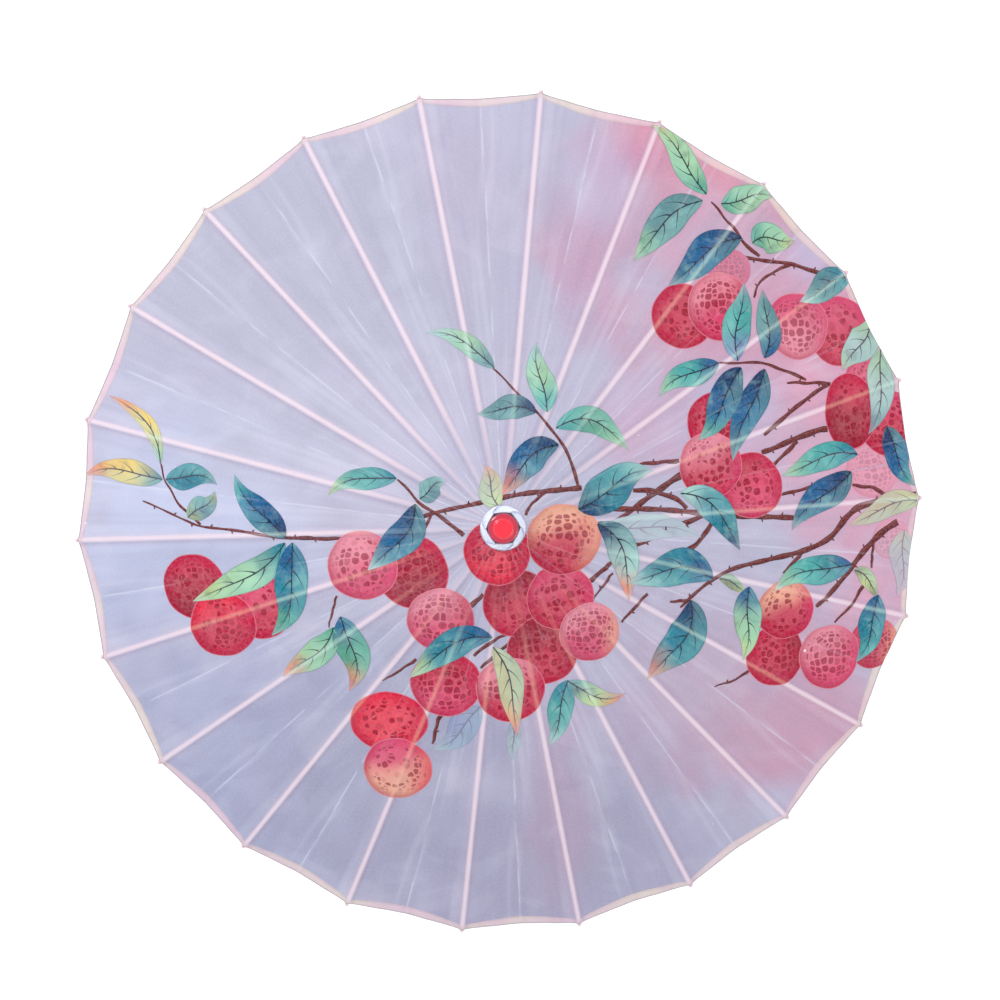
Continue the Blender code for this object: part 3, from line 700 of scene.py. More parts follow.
# fruit: x, y, half width, half height, layer, shade at the top, shade below, shade at the right, strength
fruits = [
    (-295, -47, 31, 31, 1, "crimson", "deep", "crimson", 1),
    (-228, -68, 30, 31, 1, "rose", "crimson", "crimson", 1),
    (-268, -84, 33, 32, 2, "bright", "crimson", "crimson", 1),
    (-129, -31, 33, 32, 2, "blush", "rose", "rose", .95),
    (-83, -38, 33, 34, 1, "crimson", "deep", "crimson", 1),
    (-60, -83, 31, 30, 2, "blush", "rose", "crimson", .95),
    (-6, -22, 30, 30, 2, "crimson", "bright", "crimson", 1),
    (54, -14, 34, 32, 3, "peach", "crimson", "peach", 1),
    (10, -70, 32, 32, 1, "deep", "crimson", "deep", 1),
    (49, -67, 31, 31, 2, "rose", "crimson", "rose", 1),
    (31, -117, 33, 33, 1, "deep", "crimson", "deep", 1),
    (75, -102, 28, 28, 3, "blush", "rose", "peach", .95),
    (-59, -145, 33, 32, 2, "crimson", "rose", "crimson", 1),
    (0, -153, 32, 32, 2, "blush", "crimson", "crimson", 1),
    (-115, -181, 37, 30, 1, "bright", "bright", "crimson", 1),
    (-110, -229, 33, 31, 2, "rose", "peach", "bright", .95),
    (178, 184, 30, 31, 2, "crimson", "crimson", "deep", 1),
    (216, 192, 32, 33, 3, "blush", "rose", "crimson", 1),
    (228, 228, 22, 20, 1, "rose", "rose", "rose", .6),
    (292, 172, 32, 32, 2, "rose", "blush", "rose", .9),
    (336, 166, 33, 34, 1, "rose", "crimson", "rose", .95),
    (342, 88, 28, 37, 2, "crimson", "deep", "crimson", 1),
    (360, 118, 22, 24, 1, "rose", "rose", "blush", .85),
    (384, 74, 32, 32, 1, "rose", "crimson", "rose", 1),
    (362, 30, 28, 27, 0, "blush", "blush", "blush", .45),
    (380, -38, 20, 20, 0, "blush", "blush", "blush", .4),
    (205, 82, 30, 30, 1, "crimson", "crimson", "rose", 1),
    (196, 44, 31, 31, 3, "blush", "crimson", "rose", 1),
    (236, 23, 31, 31, 2, "crimson", "rose", "crimson", 1),
    (267, -98, 29, 29, 2, "peach", "crimson", "rose", 1),
    (256, -142, 30, 30, 1, "crimson", "crimson", "deep", 1),
    (313, -149, 32, 32, 3, "blush", "rose", "rose", .95),
    (360, -140, 26, 26, 2, "rose", "crimson", "peach", .95),
]
# leaf: stalk x, y, tip x, y, half width, bow to its left, layer, shades from stalk to tip, strength
leaves = [
    (-321, 70, -372, 138, 7, -14, 3, ("pale", "yellow", "orange"), .9),
    (-320, 55, -402, 62, 12, -7, 3, ("grey", "yellow", "orange"), .9),
    (-317, 55, -265, 48, 12, 6, 3, ("teal", "teal", "grey"), .95),
    (-296, 18, -268, 42, 11, -3, 3, ("khaki", "grey", "khaki"), .9),
    (-200, -4, -247, 57, 13, 5, 4, ("navy", "blue", "sea"), 1),
    (-201, -8, -297, -62, 14, 8, 4, ("teal", "pale", "lime"), 1),
    (-194, -8, -221, -96, 16, 10, 5, ("blue", "teal", "green"), 1),
    (-160, -88, -213, -135, 13, 6, 4, ("green", "pale", "orange"), 1),
    (-153, -78, -150, -150, 15, 9, 4, ("blue", "green", "orange"), 1),
    (-93, 47, -158, 34, 10, -8, 3, ("teal", "sea", "lime"), .95),
    (-73, 28, -48, 42, 10, 3, 3, ("grey", "grey", "mist"), .95),
    (-77, 24, -124, -35, 15, 8, 5, ("navy", "blue", "mist"), 1),
    (35, 100, -18, 101, 11, -5, 3, ("navy", "grey", "grey"), .95),
    (0, 142, -62, 178, 9, -9, 3, ("grey", "pale", "mist"), .9),
    (45, 100, 40, 165, 12, 2, 3, ("sea", "pale", "mist"), .95),
    (52, 85, 118, 62, 12, 16, 3, ("sea", "green", "pale"), .95),
    (54, 70, 0, 28, 14, -8, 4, ("navy", "blue", "orange"), 1),
    (-2, 18, -14, 56, 11, 1, 3, ("lime", "sand", "orange"), .8),
    (68, 12, 140, 43, 18, 4, 4, ("navy", "teal", "mist"), 1),
    (85, -2, 112, -75, 14, 12, 4, ("navy", "mist", "orange"), 1),
    (194, -62, 112, -60, 17, -12, 4, ("blue", "teal", "mist"), 1),
    (172, -80, 128, -152, 19, 12, 4, ("navy", "teal", "orange"), 1),
    (-14, -101, -92, -138, 14, -10, 4, ("blue", "teal", "lime"), 1),
    (-14, -110, 5, -200, 12, 6, 5, ("sand", "sand", "orange"), .95),
    (54, -147, 33, -212, 12, 2, 3, ("teal", "sea", "mist"), .95),
    (54, -148, 108, -165, 10, -9, 3, ("grey", "lime", "orange"), .9),
    (-28, -168, -75, -210, 14, 5, 0, ("dusk", "dusk", "mist"), .55),
    (0, -185, 0, -225, 7, 1, 0, ("dusk", "mist", "mist"), .5),
    (208, 296, 135, 238, 16, -8, 3, ("grey", "grey", "pale"), 1),
    (212, 302, 163, 372, 13, -4, 3, ("green", "pale", "lime"), 1),
    (225, 292, 280, 298, 14, 3, 3, ("green", "pale", "pale"), 1),
    (253, 253, 297, 256, 15, 3, 3, ("green", "pale", "lime"), 1),
    (243, 258, 167, 213, 16, -6, 4, ("navy", "blue", "grey"), 1),
    (229, 140, 242, 215, 14, 3, 4, ("dusk", "sea", "grey"), 1),
    (256, 142, 260, 208, 12, -4, 4, ("blue", "grey", "grey"), 1),
    (210, 139, 150, 110, 12, -5, 3, ("blue", "sea", "pale"), 1),
    (232, 134, 185, 68, 15, 3, 5, ("navy", "blue", "green"), 1),
    (256, 132, 218, 47, 14, -2, 4, ("navy", "blue", "grey"), 1),
    (352, 218, 296, 195, 14, -3, 3, ("teal", "grey", "mist"), 1),
    (370, 178, 336, 128, 16, 4, 4, ("pale", "mist", "pale"), .9),
    (378, 148, 360, 65, 14, 6, 4, ("pale", "mist", "grey"), .9),
    (380, 72, 408, 12, 13, -4, 4, ("navy", "blue", "sea"), 1),
    (348, 46, 267, 30, 13, -6, 3, ("teal", "sea", "pale"), 1),
    (340, 30, 275, -22, 15, -4, 4, ("navy", "blue", "grey"), 1),
    (415, -3, 335, -22, 12, -6, 3, ("lime", "sand", "sand"), .8),
    (165, 20, 222, -37, 14, 12, 4, ("mist", "teal", "navy"), 1),
    (88, -6, 184, -22, 13, 5, 0, ("mist", "mist", "mist"), .45),
    (338, -60, 255, -78, 14, -7, 4, ("blue", "sea", "pale"), 1),
    (230, -72, 222, -143, 14, 3, 4, ("blue", "pale", "lime"), 1),
    (200, -62, 228, -78, 6, 2, 3, ("khaki", "khaki", "lime"), .9),
    (365, -92, 342, -158, 14, 4, 4, ("blue", "teal", "sea"), 1),
    (340, -66, 365, -95, 8, 4, 3, ("khaki", "lime", "khaki"), .9),
    (395, -30, 385, -95, 14, 4, 1, ("pale", "mist", "mist"), .5),
]
# twig: the points that it passes, its width at both ends, thorns along it
twigs = [
    ((-342, 35), (-300, 17), (-280, 9), (-240, 3), (-200, -3), (-160, -6), 1.5, 3.6, 1),
    ((-321, 70), (-317, 53), (-305, 32), (-283, 11), 1.6, 2.6, 0),
    ((-200, -3), (-168, -5), (-140, -6), 3.4, 3.2, 0),
    ((-155, -58), (-165, -88), 2.6, 1.8, 0),
    ((-100, -7), (-88, 5), (-60, 15), (-25, 22), (0, 26), (40, 30), (72, 31), 3.0, 4.8, 1),
    ((-92, 46), (-70, 22), (-50, 8), (-35, -6), 2.0, 4.0, 0),
    ((-63, 13), (-73, -4), 3.0, 1.8, 0),
    ((-2, 142), (10, 130), (37, 98), (55, 75), (65, 50), (70, 32), 1.6, 3.2, 0),
    ((20, 10), (27, 20), (40, 29), 3.0, 2.2, 0),
    ((-32, -118), (-16, -106), (0, -98), 3.4, 3.0, 0),
    ((-26, -130), (0, -108), 3.2, 3.0, 0),
    ((-117, -140), (-100, -130), (-85, -120), 1.8, 3.0, 0),
    ((-75, -205), (-68, -180), (-62, -172), 2.6, 4.2, 1),
    ((-34, -72), (-20, -60), 5.0, 4.0, 0),
    ((85, -2), (105, 0), (140, 22), (170, 38), 3.4, 6.4, 0),
    ((90, 11), (120, 9), (160, 4), (190, 0), (230, -6), (290, -11), 4.4, 5.0, 1),
    ((120, 26), (145, 22), (165, 12), (170, 6), 4.8, 4.2, 1),
    ((128, 49), (165, 50), 3.0, 4.0, 1),
    ((118, -26), (150, -14), (190, 0), 3.4, 5.2, 1),
    ((205, 6), (185, -22), (168, -35), 4.2, 4.6, 0),
    ((75, -55), (98, -38), 4.8, 3.6, 0),
    ((78, -72), (98, -48), 1.8, 2.8, 1),
    ((105, -95), (120, -80), (130, -70), 2.6, 3.2, 1),
    ((162, -86), (190, -65), (215, -54), (250, -48), (290, -42), (315, -32), (335, -12), (355, -2),
     (410, 4), 3.0, 7.5, 1),
    ((152, -80), (170, -80), 2.6, 3.0, 0),
    ((265, -63), (285, -45), 3.2, 4.4, 0),
    ((298, -98), (320, -80), (345, -55), (365, -35), (388, -22), 4.0, 7.0, 1),
    ((362, -38), (359, -65), 3.6, 2.2, 0),
    ((318, -115), (335, -100), (350, -80), 2.4, 3.6, 0),
    ((195, -167), (215, -162), (230, -153), 1.6, 3.0, 1),
    ((264, 12), (300, 18), (320, 15), 3.0, 3.4, 1),
    ((340, 17), (365, 12), (375, 3), 3.0, 4.0, 0),
    ((247, 53), (270, 60), (300, 70), (317, 72), 4.6, 6.0, 1),
    ((258, 40), (285, 62), 3.0, 4.6, 0),
    ((250, 70), (265, 80), (290, 98), (322, 116), 4.0, 3.6, 1),
    ((278, 118), (322, 116), 2.6, 3.4, 1),
    ((298, 120), (275, 130), (255, 137), (210, 139), 3.4, 2.0, 0),
    ((216, 294), (232, 272), (248, 250), (260, 240), 2.0, 3.8, 0),
    ((240, 239), (262, 237), (290, 232), (325, 222), (352, 218), 3.4, 4.4, 1),
    ((250, 200), (258, 215), (275, 226), (290, 231), 2.0, 3.2, 1),
]
motifStyle = {
    "base": 0.00009, "layer": 0.00004, "film": 0.00003, "overHem": 0.00022,
    "innerCut": 0.0205, "rimCut": 0.4090,
    "leafRows": 26, "leafColumns": 7, "fruitRows": 8, "fruitColumns": 40,
}


def shadeRun(names, t):
    # the first, middle and last of three shades along t
    a, b, c = (linear(tints[n]) for n in names)
    first = mixed(np.zeros(t.shape + (3,)) + a, b, soft(0.05, 0.5, t))
    return mixed(first, c, soft(0.55, 0.98, t))


def motifMesh(x, y, faces, motif, paint, layer, kind):
    # a flat motif in plan metres; the third coordinate holds its lift until it is laid on the cloth
    lift = motifStyle["base"] + motifStyle["layer"] * layer
    points = np.stack([x, y, 0 * x + lift], -1)
    return makeMesh("motif", points, faces, {"motif": motif}, {"paint": paint}, recalc=False), kind


def leafMotif(number, sx, sy, tx, ty, wide, bow, layer, names, strength):
    # a leaf: its midrib is a parabola from stalk to tip; its half width swells fast and draws out to a point
    t = np.linspace(0.004, 0.997, motifStyle["leafRows"])[:, None]
    v = np.linspace(-1, 1, motifStyle["leafColumns"])[None, :]
    stalk, tip = np.array((sx, sy)) / 1000, np.array((tx, ty)) / 1000
    chord = tip - stalk
    length = np.hypot(*chord)
    left = np.array((-chord[1], chord[0])) / length
    arch = bow / 1000 * 4 * t * (1 - t)
    hook = wide / 1000 * 0.35 * np.sin(2 * math.pi * t) * (1 if number % 2 else -1) * 0.5
    midX = stalk[0] + chord[0] * t + left[0] * (arch + hook)
    midY = stalk[1] + chord[1] * t + left[1] * (arch + hook)
    runX, runY = np.gradient(midX[:, 0])[:, None], np.gradient(midY[:, 0])[:, None]
    size = np.hypot(runX, runY)
    half = wide / 1000 * np.sin(math.pi * t ** 0.80) ** 0.92 * (1.10 - 0.22 * t) + 0.00012
    half = half * (1 + 0.05 * np.sin(11 * t + number) * np.sign(v))
    x, y = midX - runY / size * half * v, midY + runX / size * half * v
    flat = 0 * x
    motif = np.stack([t + flat, v + flat, half * 100 + flat], -1)
    colour = shadeRun(names, t + flat + 0.10 * ripple(x * 70, y * 70, number))
    colour = colour * (1 + 0.16 * ripple(x * 110, y * 110, number + 3))[..., None]
    alpha = strength * (1 - 0.35 * soft(0.80, 1.0, t + flat))
    paint = np.concatenate([np.clip(colour, 0, 1), alpha[..., None]], -1)
    return motifMesh(x, y, gridFaces(*x.shape), motif, paint, layer + 0.35 + 0.010 * number, 0)


def fruitMotif(number, cx, cy, rx, ry, layer, top, low, right, strength):
    # a fruit: a disc whose edge wavers a little, shaded from its top to its foot and towards its right
    angle = np.arange(motifStyle["fruitColumns"])[None, :] * 2 * math.pi / motifStyle["fruitColumns"]
    ring = np.linspace(0.04, 1, motifStyle["fruitRows"])[:, None] ** 0.8
    waver = 1 + 0.014 * np.sin(3 * angle + number) + 0.008 * np.sin(7 * angle + 2 * number)
    px, py = ring * waver * np.cos(angle), ring * waver * np.sin(angle)
    x, y = (cx + rx * px) / 1000, (cy + ry * py) / 1000
    flat = 0 * x
    motif = np.stack([ring * np.cos(angle), ring * np.sin(angle), flat + number * 0.37], -1)
    uneven = 0.25 * ripple(px * 2.2 + number, py * 2.2, number)
    colour = np.zeros(x.shape + (3,)) + linear(tints[low])
    colour = mixed(colour, linear(tints[top]), soft(-0.35, 0.65, py - 0.25 * px + uneven))
    colour = mixed(colour, linear(tints[right]), 0.75 * soft(0.15, 0.95, px + uneven))
    colour = colour * (1 + 0.10 * ripple(px * 4, py * 4, number + 5))[..., None]
    paint = np.concatenate([np.clip(colour, 0, 1), (strength + flat)[..., None]], -1)
    rows, columns = motifStyle["fruitRows"], motifStyle["fruitColumns"]
    faces = gridFaces(rows, columns, wrapColumns=True) + [list(range(columns))]
    faint = layer == 0  # faint fruit lies under the twigs
    height = layer + 0.008 * number - (1.2 + 0.02 * number) * faint
    return motifMesh(x, y, faces, motif, paint, height, 1)


def smoothRun(points, spacing):
    # a Catmull-Rom curve through the points, evenly stepped
    p = np.asarray(points, float)
    p = np.vstack([2 * p[0] - p[1], p, 2 * p[-1] - p[-2]])
    pieces = []
    for a, b, c, d in zip(p[:-3], p[1:-2], p[2:-1], p[3:]):
        count = max(3, int(np.hypot(*(c - b)) / spacing))
        t = (np.arange(count) / count)[:, None]
        bend, turn = 2 * a - 5 * b + 4 * c - d, 3 * b - a - 3 * c + d
        pieces.append(0.5 * (2 * b + (c - a) * t + bend * t ** 2 + turn * t ** 3))
    pieces.append(p[-2][None])
    return np.vstack(pieces)


def ribbon(path, half, layer, seed, shade):
    # a ribbon of the given half widths along a path in millimetres
    run = np.gradient(path, axis=0)
    side = np.stack([-run[:, 1], run[:, 0]], -1) / np.hypot(run[:, 0], run[:, 1])[:, None]
    v = np.linspace(-1, 1, 4)[None, :]
    x = (path[:, :1] + side[:, :1] * half[:, None] * v) / 1000
    y = (path[:, 1:] + side[:, 1:] * half[:, None] * v) / 1000
    walked = np.concatenate([[0], np.cumsum(np.hypot(*np.diff(path, axis=0).T))])[:, None]
    flat = 0 * x
    motif = np.stack([walked / 8 + flat, v + flat, flat + seed], -1)
    paint = np.concatenate([np.zeros(x.shape + (3,)) + shade, (1 + flat)[..., None]], -1)
    return motifMesh(x, y, gridFaces(*x.shape), motif, paint, layer + 0.012 * seed, 2)


def twigMotifs(number, *given):
    # a twig: a ribbon that tapers from end to end, swells at its knots, and has short thorns on either side
    points, start, end, thorny = given[:-3], given[-3], given[-2], given[-1]
    path = smoothRun(points, 4.0)
    t = np.linspace(0, 1, len(path))
    path = path + 0.5 * np.stack([np.sin(t * 17 + number), np.cos(t * 13 + number)], -1)
    half = (start + (end - start) * t) / 2 * (1 + 0.14 * np.sin(t * len(path) * 1.1 + number))
    half[0], half[-1] = half[0] * 0.75, half[-1] * 0.85
    bark, spurHalf = linear(tints["wine"]), np.array([1.0, 0.9, 0.7, 0.25])
    made = [ribbon(path, half, 0, number, bark)]
    if thorny:
        run = np.gradient(path, axis=0)
        for place in range(3, len(path) - 2, 5):
            turn = 1 if (place // 5 + number) % 2 else -1
            ahead = run[place] / np.hypot(*run[place])
            outward = np.array((-ahead[1], ahead[0])) * turn
            foot = path[place] + outward * half[place] * 0.6
            tip = foot + outward * (half[place] * 0.6 + 2.0) + ahead * 1.2
            spur = np.linspace(0, 1, 4)[:, None]
            made.append(ribbon(foot + (tip - foot) * spur, spurHalf, 1, number, bark))
    return made


def layMotifs():
    # every motif is cut to the sectors that it crosses, on the cloth's own columns, and laid on the cloth
    motifs, laid = [], {}
    for number, given in enumerate(twigs):
        motifs += twigMotifs(number, *given)
    motifs += [fruitMotif(number, *given) for number, given in enumerate(fruits)]
    motifs += [leafMotif(number, *given) for number, given in enumerate(leaves)]
    spans = []
    for mesh, _ in motifs:
        co = np.zeros(len(mesh.vertices) * 3)
        mesh.vertices.foreach_get("co", co)
        spans.append(co.reshape(-1, 3)[:, :2])
    for index in range(umbrella["ribs"]):
        turn = index * ribStep
        shape = bmesh.new()
        for (mesh, kind), span in zip(motifs, spans):
            along = span @ (math.cos(turn), math.sin(turn))
            across = span @ (-math.sin(turn), math.cos(turn))
            near = (along > 0.018) & (np.abs(across) < along * math.tan(halfStep) * 1.05 + 0.004)
            if not near.any() and not crosses(along, across):
                continue
            before = len(shape.faces)
            shape.from_mesh(mesh)
            shape.faces.ensure_lookup_table()
            for face in shape.faces[before:]:
                face.material_index = kind
        cutToSector(shape, turn)
        if shape.faces:
            laid[index] = layOnCloth(shape, index)
        shape.free()
    for mesh, _ in motifs:
        bpy.data.meshes.remove(mesh)
    return laid


def crosses(along, across):
    # true where a motif lies across a narrow sector with no point of its own inside it
    return along.max() > 0.018 and across.min() < 0 < across.max() and along[np.abs(across).argmin()] > 0.0


def cutPlane(shape, place, normal, clear=True):
    # cuts along a plane and drops what lies on its normal's side, unless clear is off
    everything = shape.verts[:] + shape.edges[:] + shape.faces[:]
    bmesh.ops.bisect_plane(shape, geom=everything, dist=1e-8, plane_co=place, plane_no=normal,
                           clear_outer=clear)


def cutToSector(shape, turn):
    # the two folds, the collar, the hem's two straight edges, then the cloth's columns
    def facing(angle):
        return (math.cos(turn + angle), math.sin(turn + angle), 0)
    cutPlane(shape, (0, 0, 0), facing(halfStep + math.pi / 2))
    cutPlane(shape, (0, 0, 0), facing(-halfStep - math.pi / 2))
    cutPlane(shape, Vector(facing(0)) * motifStyle["innerCut"], facing(math.pi))
    for side in (-halfStep, halfStep):
        rim = motifStyle["rimCut"] * math.cos(halfStep)
        cutPlane(shape, Vector(facing(side)) * rim, facing(side))
    for share in shares[1:-1]:
        cutPlane(shape, (0, 0, 0), facing(share * halfStep + math.pi / 2), False)


def layOnCloth(shape, index):
    # a sector's motifs are lifted to the cloth's height, and a little more where they run over the hem
    mesh = bpy.data.meshes.new("print")
    shape.to_mesh(mesh)
    co = np.zeros(len(mesh.vertices) * 3)
    mesh.vertices.foreach_get("co", co)
    co = co.reshape(-1, 3)
    turn = index * ribStep
    along = co[:, 0] * math.cos(turn) + co[:, 1] * math.sin(turn)
    across = -co[:, 0] * math.sin(turn) + co[:, 1] * math.cos(turn)
    overHem = motifStyle["overHem"] * soft(0.390, 0.396, along + np.abs(across) * math.tan(halfStep))
    co[:, 2] += clothHeight(along, across, index) + overHem
    mesh.vertices.foreach_set("co", co.astype(np.float32).ravel())
    addLayers(mesh, *clothData(along, across, index))
    normals = np.zeros(len(mesh.polygons) * 3)
    mesh.polygons.foreach_get("normal", normals)
    flipped = np.flatnonzero(normals.reshape(-1, 3)[:, 2] < 0)
    if len(flipped):
        upward = bmesh.new()
        upward.from_mesh(mesh)
        upward.faces.ensure_lookup_table()
        bmesh.ops.reverse_faces(upward, faces=[upward.faces[i] for i in flipped.tolist()])
        upward.to_mesh(mesh)
        upward.free()
    mesh.polygons.foreach_set("use_smooth", [True] * len(mesh.polygons))
    crispEdge(mesh)
    materials = [finishes["leaf"], finishes["fruit"], finishes["twig"]]
    item = makePiece(numbered("print", index), mesh, materials, numbered("rib", index))
    addThickness(item, motifStyle["film"])
    foldAway(item)
    return item


laid = layMotifs()
print("stage: painted motifs laid")


def centreCloth():
    # the flat cloth under the collar, with the cap's hole
    top, inner = clothTopFlat - 0.0001, 0.0068
    profile = [(inner, top - 0.0004), (0.0181, top - 0.0004), (0.0181, top), (inner, top)]
    mesh = turnedMesh("centreCloth", softProfile(profile, 0.0002, 3), 88)
    item = makePiece("canopy_centre", mesh, [finishes["collarCloth"]], "pole", ["canopy"])


def collarFinish():
    # bluish white cloth with a fine weave; a painted bluish shadow at the foot of its folds, a painted
    # highlight on their edges and painted shade in its notches
    f = Finish("collarCloth", Sheen_Weight=0.15)
    place = f.objectPlace()
    x, y, _ = f.split(place)
    foot, paintedFoldHighlight, notchShade = f.split(f.attribute("folds"))
    mottle = f.noise(place, 420.0, 3.0)
    patch = f.noise(place, 70.0, 2.0)
    colour = f.mix(f.step(mottle, 0.35, 0.68), linear((0.84, 0.87, 0.95)), linear((0.92, 0.94, 0.99)))
    colour = f.mix(f.step(patch, 0.45, 0.70, 0.0, 0.30), colour, linear((0.80, 0.83, 0.93)))
    # painted highlight on each fold's edge, painted shadow at its foot, painted shade in the notches
    colour = f.mix(f.times(paintedFoldHighlight, 0.7), colour, linear((0.99, 0.99, 1.0)))
    colour = f.mix(f.times(foot, 0.85), colour, linear((0.56, 0.62, 0.82)))
    colour = f.mix(f.times(notchShade, 0.8), colour, linear((0.30, 0.28, 0.40)))
    warp = f.math("SINE", f.times(x, 9000.0))
    weft = f.math("SINE", f.times(y, 9000.0))
    weave = f.plus(f.times(warp, weft), mottle)
    return f.finish(colour, f.plus(0.66, f.times(mottle, 0.2)), weave, 0.3, 0.0002)


def capFinish():
    # glossy lacquer: a clear red, a darker ring round the disc, painted shade over the rounded edge, and
    # slight unevenness
    f = Finish("redLacquer", Coat_Weight=0.9, Coat_Roughness=0.06)
    place = f.objectPlace()
    x, y, _ = f.split(place)
    far = f.math("SQRT", f.plus(f.times(x, x), f.times(y, y)))
    cloud = f.noise(place, 150.0, 3.0)
    colour = f.mix(f.step(far, 0.0080, 0.0090), linear((0.97, 0.03, 0.20)), linear((0.82, 0.03, 0.22)))
    # painted shade: the rounded edge is darkened
    colour = f.mix(f.step(far, 0.0110, 0.0130), colour, linear((0.58, 0.03, 0.24)))
    colour = f.mix(f.step(cloud, 0.45, 0.72, 0.0, 0.12), colour, linear((1.0, 0.20, 0.30)))
    return f.finish(colour, f.plus(0.16, f.times(cloud, 0.14)), cloud, 0.12, 0.0004)


finishes["collarCloth"] = collarFinish()
finishes["cap"] = capFinish()

collar = {"outer": 0.0196, "inner": 0.0136, "swirl": 0.55}
collarLow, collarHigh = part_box("collar")
capLow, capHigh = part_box("cap")


def collarPiece():
    # a cloth ring folded round the cap: its inner edge is a hexagon with a rolled lip; outside it the cloth
    # lies in six lapped folds, each a little higher than the next, whose edges slant out from the corners
    columns, base, top = 360, collarLow[2] + 0.0009, collarHigh[2]
    lay = np.linspace(0, 1, 26)[:, None]
    angle = (np.arange(columns) * 2 * math.pi / columns)[None, :]
    sixth = math.pi / 3
    hexagon = 1 / np.cos((angle % sixth) - sixth / 2)
    inner = collar["inner"] * (0.42 + 0.58 * hexagon)
    outer = collar["outer"] * (1 + 0.012 * np.cos(6 * angle + 0.6) + 0.006 * np.sin(11 * angle))
    # from under the outer edge (0), round it, up over the lip and down beside the cap (1)
    stops = [0, .06, .12, .22, .45, .62, .74, .84, .92, 1]
    reach = np.interp(lay, stops, [0.80, 0.97, 1.0, 0.96, 0.66, 0.40, 0.22, 0.07, 0.0, 0.0])
    height = np.interp(lay, stops, [0.0, 0.0, 0.14, 0.30, 0.46, 0.62, 0.90, 1.0, 0.90, 0.45])
    radius = inner + (outer - inner) * reach
    slant = angle + collar["swirl"] * (reach - 0.3)
    part = (slant / sixth) % 1
    lap = soft(0.0, 0.09, part) * (1 - part) ** 0.8
    body = np.sin(math.pi * np.clip((lay - 0.10) / 0.70, 0, 1))
    z = base + (top - base) * height + body * (0.0017 * lap - 0.0007)
    z = z + body * 0.00018 * np.sin(13 * angle + 22 * lay) + 0.0003 * np.cos(6 * angle) * soft(0.6, 0.8, lay)
    z = np.minimum(z, top)
    points = np.stack([radius * np.cos(angle), radius * np.sin(angle), z], -1)
    low = np.stack([inner * np.cos(angle), inner * np.sin(angle), 0 * angle + base], -1)
    points = np.concatenate([points, low], 0)
    # what the finish reads: the painted shadow at each fold's foot, the painted highlight on its edge, and
    # the painted shade in the notch at each inner corner
    foot = np.exp(-(1 - part) / 0.10) * soft(0.0, 0.2, body)
    paintedFoldHighlight = np.exp(-part / 0.16) * soft(0.05, 0.1, part) * soft(0.0, 0.2, body)
    corner = np.minimum(angle % sixth, sixth - angle % sixth) / sixth
    notchShade = np.exp(-corner / 0.035) * soft(0.34, 0.12, reach) * soft(0.5, 0.7, lay)
    folds = np.stack([foot, paintedFoldHighlight, notchShade], -1)
    folds = np.concatenate([folds, np.zeros((1, columns, 3))], 0)
    mesh = makeMesh("collar", points, gridFaces(points.shape[0], columns, wrapRows=True, wrapColumns=True),
                    {"folds": folds}, keepSharp=50)
    item = makePiece("collar_folds", mesh, [finishes["collarCloth"]], "pole", ["collar"])


def capPiece():
    # a turned cap: rounded side, a shallow step and a raised disc with a soft crown, closed at the axis
    low, high, wide = capLow[2], capHigh[2], 0.935 * capHigh[0]
    corners = [(0.0040, high), (0.0076, high - 0.0003), (0.0086, high - 0.0010), (0.0092, high - 0.0024),
               (wide - 0.0022, high - 0.0026), (wide - 0.0008, high - 0.0033), (wide, high - 0.0046),
               (wide, low + 0.0008),
               (wide - 0.0006, low), (0.0064, low), (0.0064, high - 0.0045)]
    rounded = softProfile(corners, 0.0008, 5).reshape(len(corners), 5, 2)[1:-1].reshape(-1, 2)
    profile = np.vstack([(0, high), corners[0], rounded, corners[-1], (0, high - 0.0045)])
    mesh = turnedMesh("cap", profile, 96, closed=False, keepSharp=60)
    makePiece("cap_red", mesh, [finishes["cap"]], "pole", ["cap"])


centreCloth()
collarPiece()
capPiece()
print("stage: collar and cap made")


ribShape = {
    "halfWide": 0.0024, "halfDepth": 0.0018, "bladeHalf": 0.00075, "corner": 0.0009, "knob": 0.00235,
    "slot": (0.1815, 0.234), "slotHalf": 0.00105, "joints": (0.066, 0.156, 0.246, 0.336),
}
stretcherShape = {
    "length": 0.190, "halfWide": 0.0015, "halfDepth": 0.0016, "bladeHalf": 0.00075, "corner": 0.0006,
    "top": 0.044, "heel": 0.030,
}
shut = 0.00001  # a slot's half width where there is none


def stripLoop(wide, depth, corner, slotHalf):
    # one section of a strip, as half width, half depth, corner radius and slot half width: two upper points
    # at the slot's sides, a quarter round at each corner, and two lower points
    quarter = np.linspace(0, math.pi / 2, 4)
    a, h, r, s = (np.asarray(q, float)[:, None] for q in (wide, depth, corner, slotHalf))
    upX, upZ = a - r + r * np.sin(quarter), h - r + r * np.cos(quarter)
    lowX, lowZ = upX[:, ::-1], -upZ[:, ::-1]
    rightX, rightZ = np.hstack([s, upX, lowX, s]), np.hstack([h, upZ, lowZ, -h])
    return np.hstack([rightX, -rightX[:, ::-1]]), np.hstack([rightZ, rightZ[:, ::-1]])


